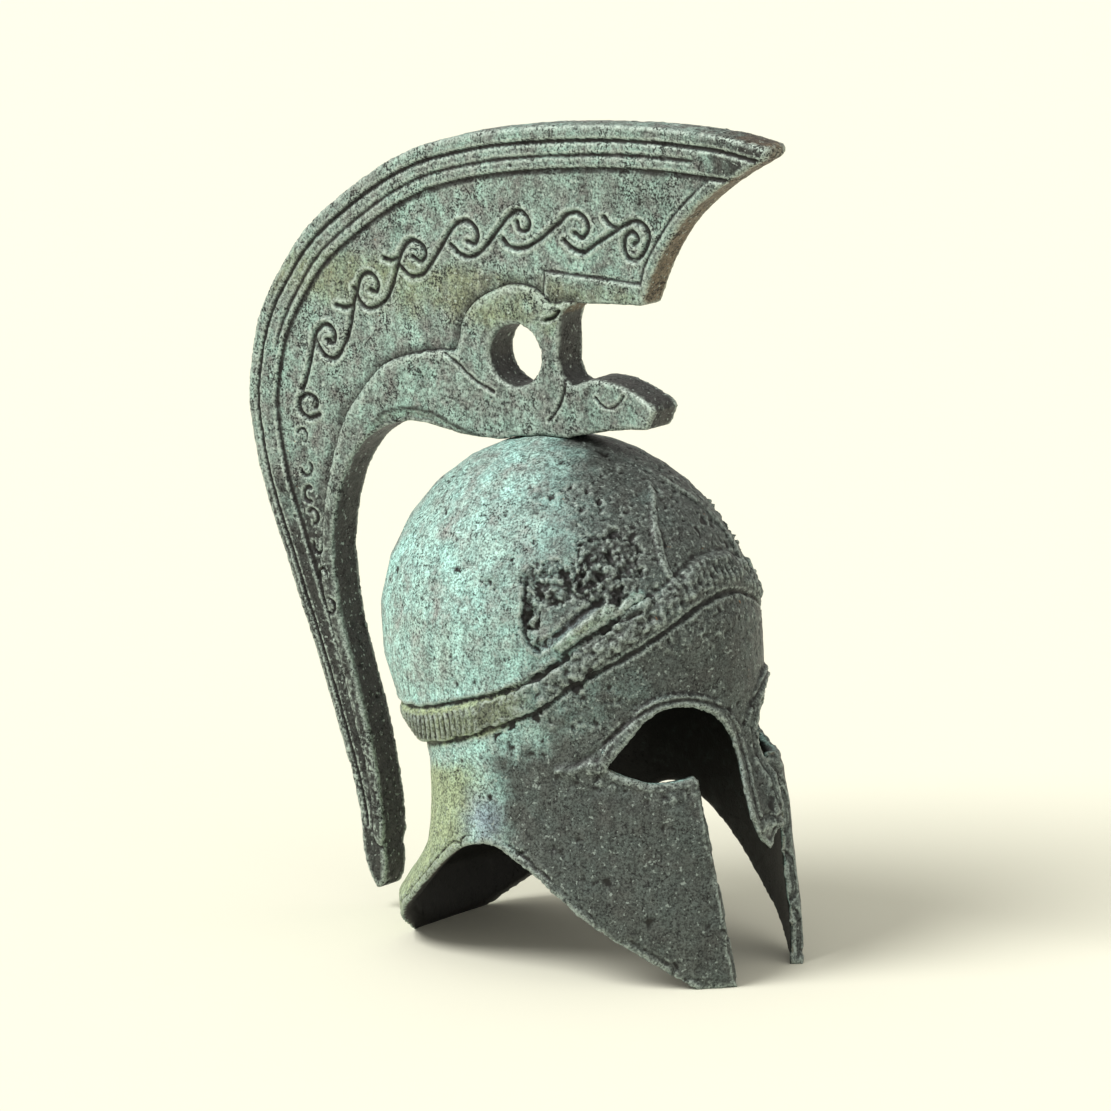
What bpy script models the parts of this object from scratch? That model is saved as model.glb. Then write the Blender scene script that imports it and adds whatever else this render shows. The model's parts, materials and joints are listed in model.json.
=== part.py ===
"""A small cast bronze helmet of the Greek kind, with a plume crest carried by a serpent.

The shell is a hollow casting, wide open below, with eye and face openings. The crest is a solid slab
casting that sits on the dome, held by one plain pin. Metres, +Z up, the front faces -Y and the object
stands on its cheek tips and its neck guard at Z = 0.
"""

import math

import bmesh
import bpy
from mathutils import Matrix, Vector

# Shell sizes. Reaches are taken from the dome's upright axis.
SHELL_HEIGHT = 0.0910
DOME_HALF_WIDTH = 0.0295
DOME_FRONT_REACH = 0.0362
DOME_REAR_REACH = 0.0344
WALL = 0.0022
OVERHANG_REACH = 0.0037
DOME_BASE_SHARE = 0.637
DOME_FRONT_ROUNDNESS = 1.65
DOME_SIDE_ROUNDNESS = 1.9

# Raised work on the shell.
BAND_HEIGHT = 0.0050
BAND_RELIEF = 0.0008
EYE_RIM_WIDTH = 0.0022
EYE_RIM_RELIEF = 0.0007
EYE_RIM_INNER_SHARE = 0.35
EYE_RIM_TAPER = 0.25

# Openings of the shell.
ARCH_HEIGHT = 0.0236
FACE_CUT_TURN = math.radians(53.8)
FACE_CUT_START = 0.55

# Crest sizes.
PLUME_RISE = 0.0568
PLUME_FRONT_REACH = 0.0444
TAIL_STANDOFF = 0.0335
TAIL_CLEARANCE = 0.0036
PLUME_THICKNESS = 0.0064
PLUME_EDGE_ROUND = 0.0005
SERPENT_THICKNESS = 0.0076
SERPENT_EDGE_ROUND = 0.0011
LOOP_HOLE_DIAMETER = 0.0111
FIELD_DEPTH = 0.00035
LINE_DEPTH = 0.0005
LINE_WIDTH = 0.0008
OUTER_LINE_INSET = 0.0028
INNER_LINE_INSET = 0.0078
FRONT_BORDER = 0.0021
LOWER_BORDER = 0.0038
TAIL_NARROWING = 0.42
NARROWING_START = 0.35

# Fastening.
CLEARANCE = 0.0003
PIN_DIAMETER = 0.0030
PIN_REACH = 0.0062
PIN_HEAD_DIAMETER = 0.0070
PIN_HEAD_THICKNESS = 0.0014
PIN_SETBACK = 0.0040

# Fineness of the facets, and the angle from which an edge counts as sharp.
TURNS = 64
CURVE_STEPS = 3
ROUND_SIDES = 32
SHARP_ANGLE = math.radians(32)
BEVEL_ANGLE = math.radians(50)

# Plain colours of the pieces.
SHELL_COLOUR = (0.20, 0.27, 0.23)
CREST_COLOUR = (0.22, 0.28, 0.23)
PIN_COLOUR = (0.30, 0.24, 0.15)
BRONZE_ROUGHNESS = 0.6

# Shell sections from the ground up to the foot of the dome. Each row holds the height as a share of
# SHELL_HEIGHT, then the half width, front and rear reach as shares of the dome's own.
SHELL_SECTIONS = (
    # height, width, front, rear
    (0.000, 0.949, 1.296, 0.795),
    (0.044, 0.983, 1.287, 0.850),
    (0.088, 1.017, 1.271, 0.860),
    (0.132, 1.037, 1.251, 0.775),
    (0.176, 1.037, 1.229, 0.672),
    (0.220, 1.024, 1.213, 0.593),
    (0.264, 1.007, 1.207, 0.581),
    (0.352, 0.983, 1.177, 0.599),
    (0.407, 0.983, 1.099, 0.622),
    (0.450, 0.990, 1.050, 0.775),
    (0.505, 0.997, 1.028, 0.905),
    (0.571, 1.000, 1.017, 0.980),
    (0.637, 1.000, 1.000, 1.000),
)

# Height of the brow band's middle line, as a share of SHELL_HEIGHT, at each turn from the front.
BAND_LINE = (
    # degrees, height
    (0, 0.780),
    (9, 0.773),
    (14, 0.757),
    (25, 0.723),
    (35, 0.691),
    (44, 0.651),
    (56, 0.597),
    (66, 0.557),
    (77, 0.523),
    (89, 0.498),
    (103, 0.473),
    (118, 0.455),
    (140, 0.444),
    (180, 0.440),
)

# The band's own section: distance from its middle line in half heights, and how far it stands out as a
# share of BAND_RELIEF. A groove runs along its upper side.
BAND_SECTION = (
    # across, out
    (-1.30, 0.00),
    (-1.00, 0.45),
    (-0.65, 1.00),
    (0.65, 1.00),
    (1.00, 0.45),
    (1.20, -0.45),
    (1.55, 0.00),
)

# The part of the wall that the eye rims are raised from: turns from the front in degrees, and heights as
# shares of SHELL_HEIGHT.
RIM_PATCH_TURNS = (-20, 95)
RIM_PATCH_HEIGHTS = (0.18, 0.62)
RIM_PATCH_COLUMNS = 24
RIM_PATCH_ROWS = 10

# Rows of faces: shares of the way from below the ground up to the band, and of the quarter turn from the
# band to the top.
LOWER_ROWS = (0.0, 0.10, 0.19, 0.28, 0.37, 0.46, 0.56, 0.66, 0.76, 0.85, 0.93)
UPPER_ROWS = (0.10, 0.22, 0.34, 0.46, 0.58, 0.70, 0.81, 0.91)
INNER_LOWER_ROWS = (0.0, 0.14, 0.28, 0.42, 0.56, 0.70, 0.84, 1.0)
INNER_UPPER_ROWS = (0.09, 0.22, 0.37, 0.52, 0.68, 0.84)

# The face opening as seen square to a cheek: distance along the cheek as a share of DOME_FRONT_REACH and
# height as a share of SHELL_HEIGHT.
EYE_UPPER_EDGE = (
    (0.182, 0.424),
    (0.216, 0.442),
    (0.275, 0.470),
    (0.386, 0.521),
    (0.467, 0.536),
    (0.562, 0.538),
    (0.635, 0.530),
    (0.694, 0.516),
    (0.738, 0.497),
    (0.775, 0.470),
    (0.803, 0.437),
    (0.828, 0.398),
    (0.851, 0.356),
    (0.876, 0.319),
    (0.908, 0.284),
    (0.952, 0.256),
    (1.010, 0.242),
)
CHEEK_FRONT_EDGE = (
    (0.815, 0.000),
    (0.788, 0.055),
    (0.749, 0.145),
    (0.705, 0.233),
    (0.665, 0.310),
    (0.638, 0.368),
    (0.627, 0.392),
    (0.600, 0.404),
)
EYE_LOWER_EDGE = (
    (0.600, 0.404),
    (0.515, 0.398),
    (0.394, 0.396),
    (0.276, 0.409),
    (0.182, 0.424),
)
EYE_RIM_TAIL = (
    (-0.060, 0.407),
    (0.060, 0.418),
)

# The lower rim seen from the side: distance behind the axis as a share of DOME_REAR_REACH or, ahead of it
# and negative, of DOME_FRONT_REACH, and height as a share of ARCH_HEIGHT.
LOWER_RIM = (
    (0.733, 0.000),
    (0.695, 0.068),
    (0.648, 0.144),
    (0.593, 0.229),
    (0.538, 0.314),
    (0.448, 0.424),
    (0.365, 0.540),
    (0.259, 0.678),
    (0.154, 0.814),
    (0.070, 0.911),
    (-0.014, 0.975),
    (-0.097, 1.000),
    (-0.176, 0.983),
    (-0.285, 0.898),
    (-0.398, 0.788),
    (-0.530, 0.627),
    (-0.644, 0.483),
    (-0.760, 0.360),
    (-0.873, 0.237),
    (-0.959, 0.136),
    (-1.044, 0.034),
    (-1.072, 0.000),
)

# Crest outline, seen from the side. The first number is the distance behind the dome's axis as a share of
# the tail's reach or, ahead of it and negative, of PLUME_FRONT_REACH. The second is the height over the
# seat as a share of PLUME_RISE or, below it and negative, of the tail's drop.
PLUME_BACK = (
    (-1.000, 0.979),
    (-0.756, 1.001),
    (-0.412, 0.997),
    (-0.056, 0.971),
    (0.218, 0.921),
    (0.402, 0.860),
    (0.503, 0.810),
    (0.629, 0.718),
    (0.810, 0.540),
    (0.909, 0.375),
    (0.972, 0.213),
    (1.000, 0.024),
    (0.994, -0.066),
    (0.956, -0.187),
    (0.865, -0.366),
    (0.773, -0.543),
    (0.689, -0.721),
    (0.644, -0.842),
    (0.627, -0.933),
    (0.600, -0.983),
    (0.579, -1.000),
    (0.559, -0.976),
    (0.554, -0.931),
)
PLUME_FRONT = (
    (-0.411, 0.440),
    (-0.433, 0.488),
    (-0.477, 0.568),
    (-0.540, 0.649),
    (-0.619, 0.730),
    (-0.740, 0.815),
    (-0.905, 0.902),
    (-1.000, 0.946),
)
PLUME_UNDERSIDE = (
    (-0.098, 0.419),
    (-0.263, 0.429),
    (-0.406, 0.437),
)
# The plume's lower edge lies hidden in the serpent from the tail to the loop.
PLUME_FOOT = (
    (0.574, -0.853),
    (0.606, -0.718),
    (0.669, -0.540),
    (0.725, -0.362),
    (0.737, -0.245),
    (0.702, -0.108),
    (0.615, 0.037),
    (0.474, 0.083),
    (0.292, 0.071),
    (0.050, 0.131),
    (0.039, 0.363),
)
SERPENT_UNDERSIDE = (
    (0.566, -0.907),
    (0.558, -0.865),
    (0.578, -0.754),
    (0.618, -0.633),
    (0.660, -0.527),
    (0.696, -0.437),
    (0.717, -0.333),
    (0.717, -0.276),
    (0.702, -0.205),
    (0.674, -0.140),
    (0.630, -0.086),
    (0.569, -0.045),
    (0.495, -0.021),
    (0.444, -0.016),
    (0.383, -0.019),
    (0.313, -0.026),
    (0.237, -0.027),
    (0.157, -0.025),
    (0.076, -0.019),
    (-0.016, -0.008),
    (-0.154, 0.017),
    (-0.321, 0.045),
    (-0.446, 0.058),
)
SERPENT_SNOUT = (
    (-0.479, 0.118),
    (-0.464, 0.138),
    (-0.395, 0.163),
    (-0.289, 0.188),
    (-0.190, 0.192),
    (-0.120, 0.174),
    (-0.076, 0.164),
    (-0.036, 0.184),
    (-0.018, 0.224),
    (-0.018, 0.284),
    (-0.019, 0.350),
    (-0.036, 0.390),
    (-0.085, 0.419),
)
SERPENT_LOOP = (
    (0.020, 0.398),
    (0.045, 0.423),
    (0.084, 0.445),
    (0.148, 0.442),
    (0.213, 0.408),
    (0.259, 0.368),
    (0.291, 0.318),
    (0.302, 0.253),
    (0.315, 0.213),
)
SERPENT_BACK = (
    (0.343, 0.207),
    (0.409, 0.198),
    (0.476, 0.174),
    (0.558, 0.128),
    (0.636, 0.021),
    (0.683, -0.045),
    (0.725, -0.150),
    (0.747, -0.253),
    (0.753, -0.367),
    (0.689, -0.541),
    (0.616, -0.733),
    (0.582, -0.893),
)
LOOP_HOLE_PLACE = (0.128, 0.232)
# Where the border lines end, as shares of the tail's drop, and how many points of PLUME_BACK they follow.
OUTER_LINE_END = -0.90
FIELD_END = -0.70
LINED_POINTS = 19


def lerp(start, end, share):
    """The value that lies the given share of the way from start to end."""
    return start + (end - start) * share


def read_table(rows, key, column):
    """One column of a table at the given key, on a smooth curve through its rows."""
    if key <= rows[0][0]:
        return rows[0][column]
    if key >= rows[-1][0]:
        return rows[-1][column]
    i = max(k for k, row in enumerate(rows) if row[0] <= key)
    low, high = rows[i], rows[i + 1]

    def slope(k):
        if k in (0, len(rows) - 1):
            return 0.0
        before = (rows[k][column] - rows[k - 1][column]) / (rows[k][0] - rows[k - 1][0])
        after = (rows[k + 1][column] - rows[k][column]) / (rows[k + 1][0] - rows[k][0])
        if before * after <= 0:
            return 0.0
        return 2 * before * after / (before + after)

    span = high[0] - low[0]
    t = (key - low[0]) / span
    ease = t * t * (3 - 2 * t)
    value = lerp(low[column], high[column], ease)
    value += span * slope(i) * t * (1 - t) ** 2
    value -= span * slope(i + 1) * t * t * (1 - t)
    return value


def smooth_path(points, steps=CURVE_STEPS):
    """Points on a Catmull-Rom curve through the given 2-D points, both ends included."""
    points = [Vector(p) for p in points]
    padded = [2 * points[0] - points[1], *points, 2 * points[-1] - points[-2]]
    path = []
    for a, b, c, d in zip(padded, padded[1:], padded[2:], padded[3:]):
        for k in range(steps):
            t = k / steps
            path.append(
                0.5
                * (
                    2 * b
                    + (c - a) * t
                    + (2 * a - 5 * b + 4 * c - d) * t * t
                    + (3 * b - 3 * c + d - a) * t * t * t
                )
            )
    return path + [points[-1]]


def offset_path(path, distances):
    """The 2-D path moved to the left of its direction by a distance for each point."""
    moved = []
    for i, point in enumerate(path):
        along = path[min(i + 1, len(path) - 1)] - path[max(i - 1, 0)]
        left = Vector((-along.y, along.x)).normalized()
        moved.append(point + left * distances[i])
    return moved


def section_at(height):
    """Half width, front reach and rear reach of the shell at a height."""
    share = height / SHELL_HEIGHT
    base = DOME_BASE_SHARE
    if share <= base:
        width, front, rear = (read_table(SHELL_SECTIONS, share, k) for k in (1, 2, 3))
    else:
        up = min((share - base) / (1 - base), 1.0)
        front = math.sqrt(1 - up**DOME_FRONT_ROUNDNESS)
        width = rear = math.sqrt(1 - up**DOME_SIDE_ROUNDNESS)
    return width * DOME_HALF_WIDTH, front * DOME_FRONT_REACH, rear * DOME_REAR_REACH


def shell_point(turn, height, inset=0.0):
    """A point of the shell's surface, or of one set inside it, at an angle round the axis from the front."""
    width, front, rear = section_at(height)
    side, ahead = math.sin(turn), math.cos(turn)
    reach = front if ahead > 0 else rear
    x = -max(width - inset, 0) * side
    y = -max(reach - inset, 0) * ahead
    return Vector((x, y, height * (SHELL_HEIGHT - inset) / SHELL_HEIGHT))


def raised_point(turn, height, out):
    """A point that stands out from the shell's surface by a distance, square to it."""
    step = 0.0005
    low = min(height, SHELL_HEIGHT - 2 * step)
    along = shell_point(turn + 0.01, low) - shell_point(turn - 0.01, low)
    up = shell_point(turn, low + step) - shell_point(turn, low - step)
    normal = up.cross(along).normalized()
    return shell_point(turn, height) + normal * out


def band_height(turn):
    """Height of the brow band's middle line at an angle round the axis."""
    place = shell_point(turn, DOME_BASE_SHARE * SHELL_HEIGHT)
    degrees = math.degrees(math.atan2(abs(place.x), -place.y))
    return read_table(BAND_LINE, degrees, 1) * SHELL_HEIGHT


def turns_round():
    """The angles of the shell's facets, a whole turn from the front."""
    return [2 * math.pi * k / TURNS for k in range(TURNS)]


def outer_rows():
    """Rows of the outer surface from below the ground to just under the top, with the band's relief."""
    rows = []
    below_ground = -WALL
    first, last = BAND_SECTION[0][0], BAND_SECTION[-1][0]
    half = BAND_HEIGHT / 2
    for share in LOWER_ROWS:
        rows.append(
            [shell_point(t, lerp(below_ground, band_height(t) + first * half, share)) for t in turns_round()]
        )
    for across, out in BAND_SECTION:
        rows.append(
            [raised_point(t, band_height(t) + across * half, out * BAND_RELIEF) for t in turns_round()]
        )
    for share in UPPER_ROWS:
        rise = math.sin(share * math.pi / 2)
        rows.append(
            [shell_point(t, lerp(band_height(t) + last * half, SHELL_HEIGHT, rise)) for t in turns_round()]
        )
    return rows


def inner_point(turn, height):
    """A point one wall inside the shell's surface. Behind, it keeps clear of the neck under the overhang."""
    point = shell_point(turn, height, WALL)
    ahead = math.cos(turn)
    if ahead < 0:
        rear = section_at(height)[2]
        neck = section_at(height - OVERHANG_REACH)[2]
        point.y = -max(min(rear, neck) - WALL, 0) * ahead
    return point


def inner_rows():
    """Rows of the inner surface, one wall inside the outer one."""
    rows = []
    for share in INNER_LOWER_ROWS:
        rows.append([inner_point(t, lerp(-WALL, band_height(t), share)) for t in turns_round()])
    for share in INNER_UPPER_ROWS:
        rise = math.sin(share * math.pi / 2)
        rows.append([inner_point(t, lerp(band_height(t), SHELL_HEIGHT, rise)) for t in turns_round()])
    return rows


def join_rings(mesh, lower, upper):
    """Faces between two rings of vertices with as many points each."""
    count = len(lower)
    for k in range(count):
        after = (k + 1) % count
        mesh.faces.new((lower[k], lower[after], upper[after], upper[k]))


def close_ring(mesh, ring, point):
    """A fan of faces from a ring of vertices to one point."""
    pole = mesh.verts.new(point)
    for k, vertex in enumerate(ring):
        mesh.faces.new((vertex, ring[(k + 1) % len(ring)], pole))


def object_from(name, mesh):
    """A new object in the scene that holds the mesh, with its faces turned outwards."""
    bmesh.ops.recalc_face_normals(mesh, faces=mesh.faces)
    if mesh.calc_volume(signed=True) < 0:
        bmesh.ops.reverse_faces(mesh, faces=mesh.faces)
    data = bpy.data.meshes.new(name)
    mesh.to_mesh(data)
    mesh.free()
    obj = bpy.data.objects.new(name, data)
    bpy.context.scene.collection.objects.link(obj)
    return obj


def prism(name, outline, place, start, end):
    """A closed prism: a 2-D outline set in space by place(point, depth), from one depth to another."""
    mesh = bmesh.new()
    near = [mesh.verts.new(place(point, start)) for point in outline]
    far = [mesh.verts.new(place(point, end)) for point in outline]
    join_rings(mesh, near, far)
    mesh.faces.new(near)
    mesh.faces.new(far)
    return object_from(name, mesh)


def rod(name, diameter, low, high, y):
    """An upright round rod on the middle plane, from one height to another."""
    mesh = bmesh.new()
    bmesh.ops.create_cone(
        mesh, cap_ends=True, segments=ROUND_SIDES, radius1=diameter / 2, radius2=diameter / 2, depth=high - low
    )
    bmesh.ops.translate(mesh, verts=mesh.verts, vec=(0, y, (low + high) / 2))
    return object_from(name, mesh)


def boolean(obj, other, operation):
    """Joins, cuts or intersects an object with another, which is then removed."""
    modifier = obj.modifiers.new(operation.title(), "BOOLEAN")
    modifier.operation = operation
    modifier.solver = "EXACT"
    modifier.object = other
    apply_modifiers(obj)
    bpy.data.objects.remove(other)


def apply_modifiers(obj):
    """Makes the object's evaluated shape its mesh and clears its modifiers."""
    graph = bpy.context.evaluated_depsgraph_get()
    made = bpy.data.meshes.new_from_object(obj.evaluated_get(graph))
    obj.modifiers.clear()
    old = obj.data
    obj.data = made
    bpy.data.meshes.remove(old)


def round_edges(obj, width, segments):
    """Rounds the sharp edges of an object and applies it."""
    modifier = obj.modifiers.new("Bevel", "BEVEL")
    modifier.width = width
    modifier.segments = segments
    modifier.limit_method = "ANGLE"
    modifier.angle_limit = BEVEL_ANGLE
    apply_modifiers(obj)


def side_place(point, depth):
    """Sets a side view outline, Y and Z, in space at a distance X."""
    return Vector((depth, point.x, point.y))


def cheek_place(mirror):
    """Sets an outline seen square to a cheek in space. A mirror of 1 is the -X cheek and -1 the other."""
    along = Vector((math.cos(FACE_CUT_TURN), -math.sin(FACE_CUT_TURN), 0))
    inward = Vector((math.sin(FACE_CUT_TURN), math.cos(FACE_CUT_TURN), 0))

    def place(point, depth):
        spot = along * point.x + inward * depth
        return Vector((spot.x * mirror, spot.y, point.y))

    return place


def cheek_scaled(points):
    """Real sizes of an outline given in shares on the cheek."""
    return [Vector((x * DOME_FRONT_REACH, z * SHELL_HEIGHT)) for x, z in points]


def face_opening_outline():
    """The eye opening and the slot between cheek and nose guard, one closed outline."""
    beyond = 2 * DOME_FRONT_REACH
    upper = smooth_path(cheek_scaled(EYE_UPPER_EDGE), 2)
    outside = [
        Vector((beyond, upper[-1].y)),
        Vector((beyond, -2 * WALL)),
        Vector((CHEEK_FRONT_EDGE[0][0] * DOME_FRONT_REACH, -2 * WALL)),
    ]
    front = smooth_path(cheek_scaled(CHEEK_FRONT_EDGE), 2)
    lower = smooth_path(cheek_scaled(EYE_LOWER_EDGE), 2)
    return upper + outside + front + lower[1:-1]


def eye_rim_outline():
    """The raised rim over the eye and down the nose guard, with its tail behind the eye."""
    path = smooth_path(cheek_scaled(EYE_RIM_TAIL + EYE_UPPER_EDGE[:-2]), 2)
    last = len(path) - 1
    inner_share = EYE_RIM_INNER_SHARE
    grown = [k / (EYE_RIM_TAPER * last) for k in range(last + 1)]
    outward = [EYE_RIM_WIDTH * min(1.0, inner_share + share) for share in grown]
    inward = [-EYE_RIM_WIDTH * inner_share * min(1.0, share) for share in grown]
    return offset_path(path, outward) + offset_path(path, inward)[::-1]


def eye_rim(mirror):
    """The raised eye rim of one side, its root inside the wall."""
    mesh = bmesh.new()
    columns = [k / (RIM_PATCH_COLUMNS - 1) for k in range(RIM_PATCH_COLUMNS)]
    turns = [math.radians(lerp(*RIM_PATCH_TURNS, share)) * mirror for share in columns]
    rows_up = [k / (RIM_PATCH_ROWS - 1) for k in range(RIM_PATCH_ROWS)]
    heights = [lerp(*RIM_PATCH_HEIGHTS, share) * SHELL_HEIGHT for share in rows_up]
    outside = [[mesh.verts.new(raised_point(t, h, EYE_RIM_RELIEF)) for t in turns] for h in heights]
    inside = [[mesh.verts.new(raised_point(t, h, -WALL / 2)) for t in turns] for h in heights]
    for rows in (outside, inside):
        for low, high in zip(rows, rows[1:]):
            for k in range(len(turns) - 1):
                mesh.faces.new((low[k], low[k + 1], high[k + 1], high[k]))
    for out, back in ((outside[0], inside[0]), (outside[-1], inside[-1])):
        for k in range(len(turns) - 1):
            mesh.faces.new((out[k], out[k + 1], back[k + 1], back[k]))
    for k in (0, -1):
        for low in range(len(heights) - 1):
            mesh.faces.new((outside[low][k], outside[low + 1][k], inside[low + 1][k], inside[low][k]))
    rim = object_from("eye_rim", mesh)
    outline = eye_rim_outline()
    depths = (-2 * DOME_FRONT_REACH, -FACE_CUT_START * DOME_FRONT_REACH)
    boolean(rim, prism("rim_cutter", outline, cheek_place(mirror), *depths), "INTERSECT")
    return rim


def lower_rim_outline():
    """The space under the shell: below the neck guard, the side arch and the cheek's rear edge."""
    points = []
    for share, height in LOWER_RIM:
        reach = DOME_REAR_REACH if share > 0 else DOME_FRONT_REACH
        points.append(Vector((share * reach, height * ARCH_HEIGHT)))
    path = smooth_path(points, 2)
    beyond = 2 * DOME_FRONT_REACH
    ends = [
        Vector((-beyond, 0)),
        Vector((-beyond, -4 * WALL)),
        Vector((beyond, -4 * WALL)),
        Vector((beyond, 0)),
    ]
    return path + ends


def helmet_shell():
    """The hollow casting with its openings, band and eye rims."""
    mesh = bmesh.new()
    outer = [[mesh.verts.new(p) for p in row] for row in outer_rows()]
    inner = [[mesh.verts.new(p) for p in row] for row in inner_rows()]
    for rows, top in ((outer, SHELL_HEIGHT), (inner, SHELL_HEIGHT - WALL)):
        for lower, upper in zip(rows, rows[1:]):
            join_rings(mesh, lower, upper)
        close_ring(mesh, rows[-1], (0, 0, top))
    join_rings(mesh, outer[0], inner[0])
    shell = object_from("helmet_shell", mesh)
    for mirror in (1, -1):
        boolean(shell, eye_rim(mirror), "UNION")
    for mirror in (1, -1):
        depths = (-2 * DOME_FRONT_REACH, -FACE_CUT_START * DOME_FRONT_REACH)
        boolean(shell, prism("face_cutter", face_opening_outline(), cheek_place(mirror), *depths), "DIFFERENCE")
    side = 2 * DOME_HALF_WIDTH
    boolean(shell, prism("rim_cutter", lower_rim_outline(), side_place, -side, side), "DIFFERENCE")
    bore = PIN_DIAMETER + 2 * CLEARANCE
    middle = SHELL_HEIGHT - WALL / 2
    boolean(shell, rod("bore", bore, middle - 4 * WALL, middle + 4 * WALL, PIN_SETBACK), "DIFFERENCE")
    return shell


def seat_height():
    """Height of the crest's seat over the dome's top."""
    return SHELL_HEIGHT + CLEARANCE


def crest_scaled(points):
    """Real sizes of an outline given in shares of the crest's reaches."""
    rear = DOME_REAR_REACH + TAIL_STANDOFF
    drop = seat_height() - TAIL_CLEARANCE
    return [
        Vector(
            (
                y * (rear if y > 0 else PLUME_FRONT_REACH),
                seat_height() + z * (PLUME_RISE if z > 0 else drop),
            )
        )
        for y, z in points
    ]


def plume_outline():
    """Closed outline of the plume slab, its foot hidden in the serpent."""
    back = smooth_path(crest_scaled(PLUME_BACK))
    foot = smooth_path(crest_scaled(PLUME_FOOT), 2)
    underside = smooth_path(crest_scaled(PLUME_UNDERSIDE), 2)
    front = smooth_path(crest_scaled(PLUME_FRONT))
    return back + foot + underside + front


def serpent_outline():
    """Closed outline of the serpent: tail strip, belly, head, neck and loop."""
    outline = []
    for part in (SERPENT_UNDERSIDE, SERPENT_SNOUT, SERPENT_LOOP, SERPENT_BACK):
        outline += smooth_path(crest_scaled(part), 3)
    return outline


def border_line(inset):
    """A line that follows the plume's back at an inset that narrows towards the tail."""
    back = smooth_path(crest_scaled(PLUME_BACK[:LINED_POINTS]))
    last = len(back) - 1
    narrowed = [max(0.0, (k / last - NARROWING_START) / (1 - NARROWING_START)) for k in range(last + 1)]
    return offset_path(back, [-inset * (1 - TAIL_NARROWING * share) for share in narrowed])


def line_outline(inset, end):
    """Closed outline of a border groove, down to a height."""
    outer = [p for p in border_line(inset - LINE_WIDTH / 2) if p.y > end]
    inner = [p for p in border_line(inset + LINE_WIDTH / 2) if p.y > end]
    return outer + inner[::-1]


def field_outline():
    """Closed outline of the sunk field inside the border, its lower side hidden in the serpent."""
    end = crest_scaled([(0, FIELD_END)])[0].y
    front_path = smooth_path(crest_scaled(PLUME_FRONT))
    front = offset_path(front_path, [-FRONT_BORDER] * len(front_path))
    lower = front_path[0].y + LOWER_BORDER
    back = []
    for point in border_line(INNER_LINE_INSET):
        ahead = min(front, key=lambda p: abs(p.y - point.y))
        if point.y > end and point.x > ahead.x:
            back.append(point)
    front = [p for p in front if lower < p.y < back[0].y]
    foot = smooth_path(crest_scaled(PLUME_FOOT[1:]), 2)
    return back + foot + [Vector((foot[-1].x, lower)), Vector((front[0].x, lower))] + front[1:]


def engrave(obj, outline, depth):
    """Cuts an outline into both side faces of the plume, to a depth."""
    face = PLUME_THICKNESS / 2
    for side in (1, -1):
        cutter = prism("engraving", outline, side_place, side * (face - depth), side * 2 * face)
        boolean(obj, cutter, "DIFFERENCE")


def dome_clearance():
    """The upper dome, larger by the clearance, which shapes the crest's seat."""
    mesh = bmesh.new()
    rings = []
    for share in (0.0, *UPPER_ROWS):
        height = lerp(DOME_BASE_SHARE, 1.0, math.sin(share * math.pi / 2)) * SHELL_HEIGHT
        rings.append([mesh.verts.new(raised_point(t, height, CLEARANCE)) for t in turns_round()])
    for lower, upper in zip(rings, rings[1:]):
        join_rings(mesh, lower, upper)
    close_ring(mesh, rings[-1], (0, 0, seat_height()))
    mesh.faces.new(rings[0])
    return object_from("dome_clearance", mesh)


def crest():
    """The plume and the serpent, one casting that sits on the dome."""
    half_plume = PLUME_THICKNESS / 2
    half_serpent = SERPENT_THICKNESS / 2
    plume = prism("crest", plume_outline(), side_place, -half_plume, half_plume)
    round_edges(plume, PLUME_EDGE_ROUND, 1)
    engrave(plume, field_outline(), FIELD_DEPTH)
    for inset, end in ((OUTER_LINE_INSET, OUTER_LINE_END), (INNER_LINE_INSET, FIELD_END)):
        engrave(plume, line_outline(inset, crest_scaled([(0, end)])[0].y), LINE_DEPTH)
    serpent = prism("serpent", serpent_outline(), side_place, -half_serpent, half_serpent)
    round_edges(serpent, SERPENT_EDGE_ROUND, 2)
    boolean(plume, serpent, "UNION")
    centre = crest_scaled([LOOP_HOLE_PLACE])[0]
    radius = LOOP_HOLE_DIAMETER / 2
    circle = [
        centre + radius * Vector((math.cos(a), math.sin(a)))
        for a in (2 * math.pi * k / ROUND_SIDES for k in range(ROUND_SIDES))
    ]
    boolean(plume, prism("loop_hole", circle, side_place, -2 * half_serpent, 2 * half_serpent), "DIFFERENCE")
    boolean(plume, dome_clearance(), "DIFFERENCE")
    bore = PIN_DIAMETER + 2 * CLEARANCE
    socket = rod("socket", bore, SHELL_HEIGHT / 2, seat_height() + PIN_REACH + CLEARANCE, PIN_SETBACK)
    boolean(plume, socket, "DIFFERENCE")
    return plume


def height_under_dome(distance):
    """Height of the dome's inner surface on the middle plane, at a distance behind the axis."""
    across = distance / (DOME_REAR_REACH - WALL)
    up = (1 - across * across) ** (1 / DOME_SIDE_ROUNDNESS)
    return lerp(DOME_BASE_SHARE, 1.0, up) * (SHELL_HEIGHT - WALL)


def crest_pin():
    """The plain pin through the dome into the crest, its head inside the dome."""
    head_top = height_under_dome(PIN_SETBACK + PIN_HEAD_DIAMETER / 2) - 2 * CLEARANCE
    rise = seat_height() + PIN_REACH
    shank = rod("crest_pin", PIN_DIAMETER, head_top - PIN_HEAD_THICKNESS / 2, rise, PIN_SETBACK)
    head = rod("pin_head", PIN_HEAD_DIAMETER, head_top - PIN_HEAD_THICKNESS, head_top, PIN_SETBACK)
    boolean(shank, head, "UNION")
    return shank


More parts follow.
